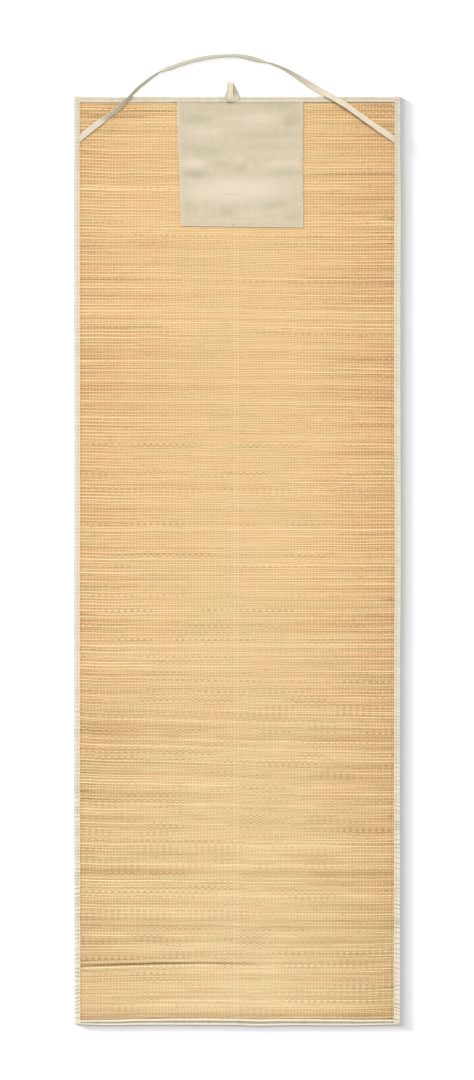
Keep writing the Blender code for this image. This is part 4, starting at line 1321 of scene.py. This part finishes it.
# Distances from its ends: out of the tape's flap, on the straw, full thickness, and cut square
STRAP_FLAP = 0.0068
STRAP_STRAW = 0.0096
STRAP_FULL = 0.0135
STRAP_SQUARE = 0.0180
ROUTE_STEPS = 12
ROUTE_REACH = 0.003
STRAP_ROUTE = [
    (-0.2950, 0.7688), (-0.2800, 0.7812), (-0.2620, 0.7958), (-0.2440, 0.8092), (-0.2272, 0.8214),
    (-0.2125, 0.8335), (-0.1965, 0.8500), (-0.1822, 0.8647), (-0.1602, 0.8829), (-0.1400, 0.8965),
    (-0.1217, 0.9031), (-0.0887, 0.9143), (-0.0557, 0.9215), (-0.0227, 0.9248), (0.0040, 0.9245),
    (0.0323, 0.9185), (0.0652, 0.9094), (0.0872, 0.9000), (0.1092, 0.8870), (0.1422, 0.8661),
    (0.1752, 0.8478), (0.2025, 0.8313), (0.2258, 0.8146), (0.2511, 0.7965), (0.2800, 0.7773),
    (0.2940, 0.7680),
]
# How far the strap is rolled on to its edge: x, degrees. Past 90 its other face shows
STRAP_ROLL = [
    (-0.252, 2.0), (-0.240, 54.0), (-0.216, 48.0), (-0.196, 74.0), (-0.180, 72.0), (-0.149, 77.0),
    (-0.138, 116.0), (-0.126, 127.0), (-0.055, 127.0), (-0.030, 119.0), (-0.012, 120.0), (0.032, 134.0),
    (0.067, 84.0), (0.082, 74.0), (0.112, 48.0), (0.145, 4.0), (0.175, -20.0), (0.245, -22.0),
    (0.268, -4.0),
]
# Height of the strap's lowest edge: x, height
STRAP_LOW = [
    (-0.222, ON_STRAW), (-0.208, ON_TAPE), (-0.190, ON_TAPE), (-0.160, 0.0),
    (0.108, 0.0), (0.156, ON_TAPE), (0.197, ON_TAPE), (0.209, ON_STRAW),
]
# The strap's section: across and up from its middle, as shares of half its width and thickness
STRAP_SECTION = [
    (-1.00, 0.45), (-0.975, 0.85), (-0.90, 1.08), (-0.82, 1.00), (-0.76, 0.78), (-0.70, 1.00),
    (-0.40, 1.03), (0.00, 0.98), (0.45, 1.02), (0.78, 1.06), (0.90, 1.02), (0.98, 0.62),
    (1.00, 0.00), (0.98, -0.62), (0.90, -1.02), (0.45, -1.02), (0.00, -0.98), (-0.70, -1.00),
    (-0.76, -0.78), (-0.82, -1.00), (-0.90, -1.08), (-0.975, -0.85), (-1.00, -0.45), (-0.985, -0.06),
    (0.90, -0.03), (0.90, 0.03), (-0.985, 0.06),
]
# Painted shade on the strap where it lies rolled on its edge and in the arch: x, amount
STRAP_PAINTED_SHADE = [
    (-0.242, 0.00), (-0.228, 0.45), (-0.205, 0.65), (-0.190, 0.80), (-0.150, 0.80), (-0.138, 1.04),
    (0.040, 1.06), (0.075, 0.75), (0.105, 0.50), (0.135, 0.22), (0.160, 0.00),
]
# Painted shade along its open edge, where the two layers part, as a shadow line by the strap: x, amount
STRAP_EDGE_PAINTED_SHADE = [
    (-0.290, 1.30), (-0.250, 1.80), (-0.235, 1.10), (-0.205, 1.30), (-0.190, 1.00), (-0.150, 0.60),
    (-0.130, 0.20), (0.060, 0.50), (0.100, 0.80), (0.150, 1.50), (0.200, 1.90), (0.280, 1.60),
]
# The section's points on the seam, and the way out of the cloth there
STRAP_SEAMS = {"front": (4, 1.0), "back": (18, -1.0)}


def value_at(table, places):
    """The table's value at places, smooth between its rows and level past its ends."""
    rows, values = np.array(table).T
    near = np.clip(np.searchsorted(rows, places) - 1, 0, len(rows) - 2)
    share = smooth((places - rows[near]) / (rows[near + 1] - rows[near]))
    return values[near] + (values[near + 1] - values[near]) * share


def curve_through(points, steps, closed=False):
    """Points on a smooth curve through the given ones, a few for each stretch."""
    points = np.asarray(points, float)
    count = len(points)
    made = []
    for i in range(count if closed else count - 1):
        picks = [(i + k) % count if closed else min(max(i + k, 0), count - 1) for k in (-1, 0, 1, 2)]
        a, b, c, d = points[picks]
        for t in np.arange(steps) / steps:
            square = (2.0 * a - 5.0 * b + 4.0 * c - d) * t * t
            cube = (3.0 * b - a - 3.0 * c + d) * t * t * t
            made.append(0.5 * (2.0 * b + (c - a) * t + square + cube))
    if not closed:
        made.append(points[-1])
    return np.array(made)


line = curve_through([(x, y, 0.0) for x, y in STRAP_ROUTE], ROUTE_STEPS)
marks = length_marks(line)
stations = np.linspace(0.0, marks[-1], int(marks[-1] / STRAP_PITCH) + 1)


def on_route(distances):
    return np.stack([np.interp(distances, marks, line[:, i]) for i in range(3)], axis=1)


# At each station: how much of its thickness and roll it has, how far it is clear of the tape's flap,
# and how far it is slanted along the mat's edge
middle = on_route(stations)
travel = on_route(stations + ROUTE_REACH) - on_route(stations - ROUTE_REACH)
travel /= np.linalg.norm(travel, axis=1)[:, None]
aside = np.cross(UP, travel)
from_end = np.minimum(stations, stations[-1] - stations)
full = smooth((from_end - STRAP_STRAW) / (STRAP_FULL - STRAP_STRAW))
clear = smooth((from_end - STRAP_FLAP) / (STRAP_STRAW - STRAP_FLAP))
slant = 1.0 - smooth((from_end - STRAP_STRAW) / (STRAP_SQUARE - STRAP_STRAW))[:, None]
low = TUCKED_LOW + (value_at(STRAP_LOW, middle[:, 0]) - TUCKED_LOW) * clear
roll = (np.radians(value_at(STRAP_ROLL, middle[:, 0])) * full)[:, None]
level = aside + (np.array([0.0, 1.0, 0.0]) / aside[:, 1:2] - aside) * slant
across = np.cos(roll) * level + np.sin(roll) * UP
facing = np.cos(roll) * UP - np.sin(roll) * aside
flutter = 0.00018 * np.sin(stations * 210.0) * full
wide, deep = np.array(STRAP_SECTION).T
thick = TUCKED_THICK + (STRAP_THICK - TUCKED_THICK) * full
outward = deep * thick[:, None] / 2 + flutter[:, None] * wide
rings = middle[:, None] + across[:, None] * (wide * STRAP_WIDTH / 2)[:, None]
rings += facing[:, None] * outward[:, :, None]
rings[:, :, 2] += (low - rings[:, :, 2].min(axis=1))[:, None]
strap = shell("strap", rings, stations)
mean_x = rings[:, :, 0].mean(axis=1)
# Both edges carry more painted shade, the open edge most
at_edge = np.select([wide < -0.97, wide < -0.89, wide > 0.97], [1.0, 0.5, 0.4], 0.0)
painted_light_and_shade = value_at(STRAP_PAINTED_SHADE, mean_x)[:, None] + value_at(STRAP_EDGE_PAINTED_SHADE, mean_x)[:, None] * at_edge
give_values(strap.data, "painted_light_and_shade", painted_light_and_shade)

# The narrow tape is twilled, with fine slanting ribs over its weave, and painted shade and highlight
strap_cloth, tree, shader, tint, height = cloth(
    "narrow_tape_cloth", (0.775, 0.670, 0.515), (0.735, 0.630, 0.475), 2000.0
)
spot = put(tree, "ShaderNodeUVMap", {}, uv_map="cloth_metres").outputs["UV"]
twill = slanting_bands(tree, spot, 250.0, 0.8, 1.0)
tint = scaled(tree, tint, ramped(tree, twill, 0.0, 1.0, 0.92, 1.04))
painted_light_and_shade = fact(tree, "painted_light_and_shade")
# Painted shade, deeper painted shade, and painted highlight
washes = [
    (ramped(tree, painted_light_and_shade, 0.0, 1.0, 0.0, 1.0), (0.660, 0.710, 0.690)),
    (ramped(tree, painted_light_and_shade, 1.0, 2.0, 0.0, 1.0), (0.480, 0.470, 0.420)),
    (ramped(tree, painted_light_and_shade, 0.0, -1.0, 0.0, 1.0), (1.200, 1.170, 1.080)),
]
normal = bumped(tree, height, 0.7, 0.00010, Normal=bumped(tree, twill, 0.6, 0.00020))
feed(tree, shader, {"Base Color": coated(tree, tint, washes, "MULTIPLY"), "Normal": normal})
strap.data.materials.append(strap_cloth)
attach(strap, "root")
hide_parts("carry_strap")

sewn_part = slice(3, -3)
for name, (point, turn) in STRAP_SEAMS.items():
    outwards = facing[sewn_part] * turn
    sewn = stitches_on(f"strap_stitches_{name}", rings[sewn_part, point] + outwards * 0.00012, outwards)
    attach(sewn, "root")

# Hang loop
# A short piece of the narrow tape, folded back on itself and sewn to the head tape. Its front leg
# lies over its back leg, which opens out to a flat wedge where it is sewn down.
LOOP_THICK = 0.0010
LOOP_STEPS = 5
# The loop's ring of tape, from its lower fold out along the back leg and home along the front leg:
# y, height, left side x, right side x
LOOP_RING = [
    (0.8405, 0.00665, -0.0198, -0.0066), (0.8407, 0.00616, -0.0200, -0.0040),
    (0.8412, 0.00595, -0.0202, 0.0005), (0.8460, 0.00592, -0.0228, 0.0038),
    (0.8505, 0.00510, -0.0233, 0.0048), (0.8540, 0.00300, -0.0220, 0.0034),
    (0.8575, 0.00125, -0.0205, 0.0020), (0.8630, 0.00080, -0.0193, -0.0008),
    (0.8700, 0.00080, -0.0191, -0.0045), (0.8745, 0.00135, -0.0191, -0.0069),
    (0.8764, 0.00385, -0.0191, -0.0077), (0.8745, 0.00635, -0.0191, -0.0077),
    (0.8700, 0.00735, -0.0191, -0.0077), (0.8630, 0.00765, -0.0191, -0.0077),
    (0.8560, 0.00780, -0.0192, -0.0077), (0.8500, 0.00780, -0.0193, -0.0077),
    (0.8450, 0.00755, -0.0194, -0.0077), (0.8412, 0.00735, -0.0195, -0.0077),
    (0.8407, 0.00714, -0.0196, -0.0075),
]
# Its section: across, 0 at the left and 1 at the right, and up as a share of half the thickness
LOOP_SECTION = [
    (0.00, 0.00), (0.012, 0.70), (0.05, 1.08), (0.11, 1.05), (0.16, 0.80), (0.50, 0.92), (0.84, 0.80),
    (0.89, 1.05), (0.95, 1.12), (0.988, 0.70), (1.00, 0.00), (0.988, -0.70), (0.95, -1.0),
    (0.50, -1.0), (0.05, -1.0), (0.012, -0.70),
]
# The front leg's painted light and shade across it: above 0 painted shade, as in its seams, and below 0
# painted highlight
FRONT_TONES = [
    (0.00, 0.60), (0.05, 0.15), (0.11, 0.00), (0.16, 0.45), (0.50, -0.35), (0.84, 0.30),
    (0.89, -0.90), (0.95, -0.90), (1.00, 1.20),
]
# The two ends of the seam across the front leg
LOOP_SEAM = [(-0.02038, 0.8432, 0.00805), (-0.00662, 0.8432, 0.00805)]

ring = curve_through(LOOP_RING, LOOP_STEPS, closed=True)
line, sides = ring[:, :2], ring[:, 2:]
travel = np.roll(line, -1, axis=0) - np.roll(line, 1, axis=0)
travel /= np.linalg.norm(travel, axis=1)[:, None]
outward = np.stack([travel[:, 1], -travel[:, 0]], axis=1)
shares, deep = np.array(LOOP_SECTION).T
rings = np.empty((len(line), len(shares), 3))
rings[:, :, 0] = sides[:, :1] + (sides[:, 1:] - sides[:, :1]) * shares
rings[:, :, 1:] = line[:, None] + outward[:, None] * (deep * LOOP_THICK / 2)[:, None]
loop = shell("loop", rings, length_marks(np.concatenate([line, line[:1]])), closed=True)

# Painted shade: the back leg darker beyond the mat's edge and along its edges, the front leg towards its
# seam and at its lower fold
front = outward[:, 1] > 0.3
ring_y = line[:, 0]
front_leg = 0.60 * smooth((0.8530 - ring_y) / 0.0090)
back_leg = 0.40 + 0.60 * smooth((ring_y - 0.8470) / 0.0100)
legs = np.where(front, front_leg, back_leg)
legs[front & (ring_y < 0.8424)] = 1.0
painted_light_and_shade = np.repeat(legs[:, None], len(shares), axis=1)
painted_light_and_shade[front] += np.interp(shares, *zip(*FRONT_TONES))
painted_light_and_shade[np.ix_(~front, (shares < 0.02) | (shares > 0.97))] += 0.9
give_values(loop.data, "painted_light_and_shade", np.clip(painted_light_and_shade, -1.0, 2.0))
loop.data.materials.append(strap_cloth)
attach(loop, "root")
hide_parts("hang_loop")

loop_sewn = stitches_on("loop_stitches", np.array(LOOP_SEAM), UP)
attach(loop_sewn, "root")

bpy.data.objects.remove(stitch)
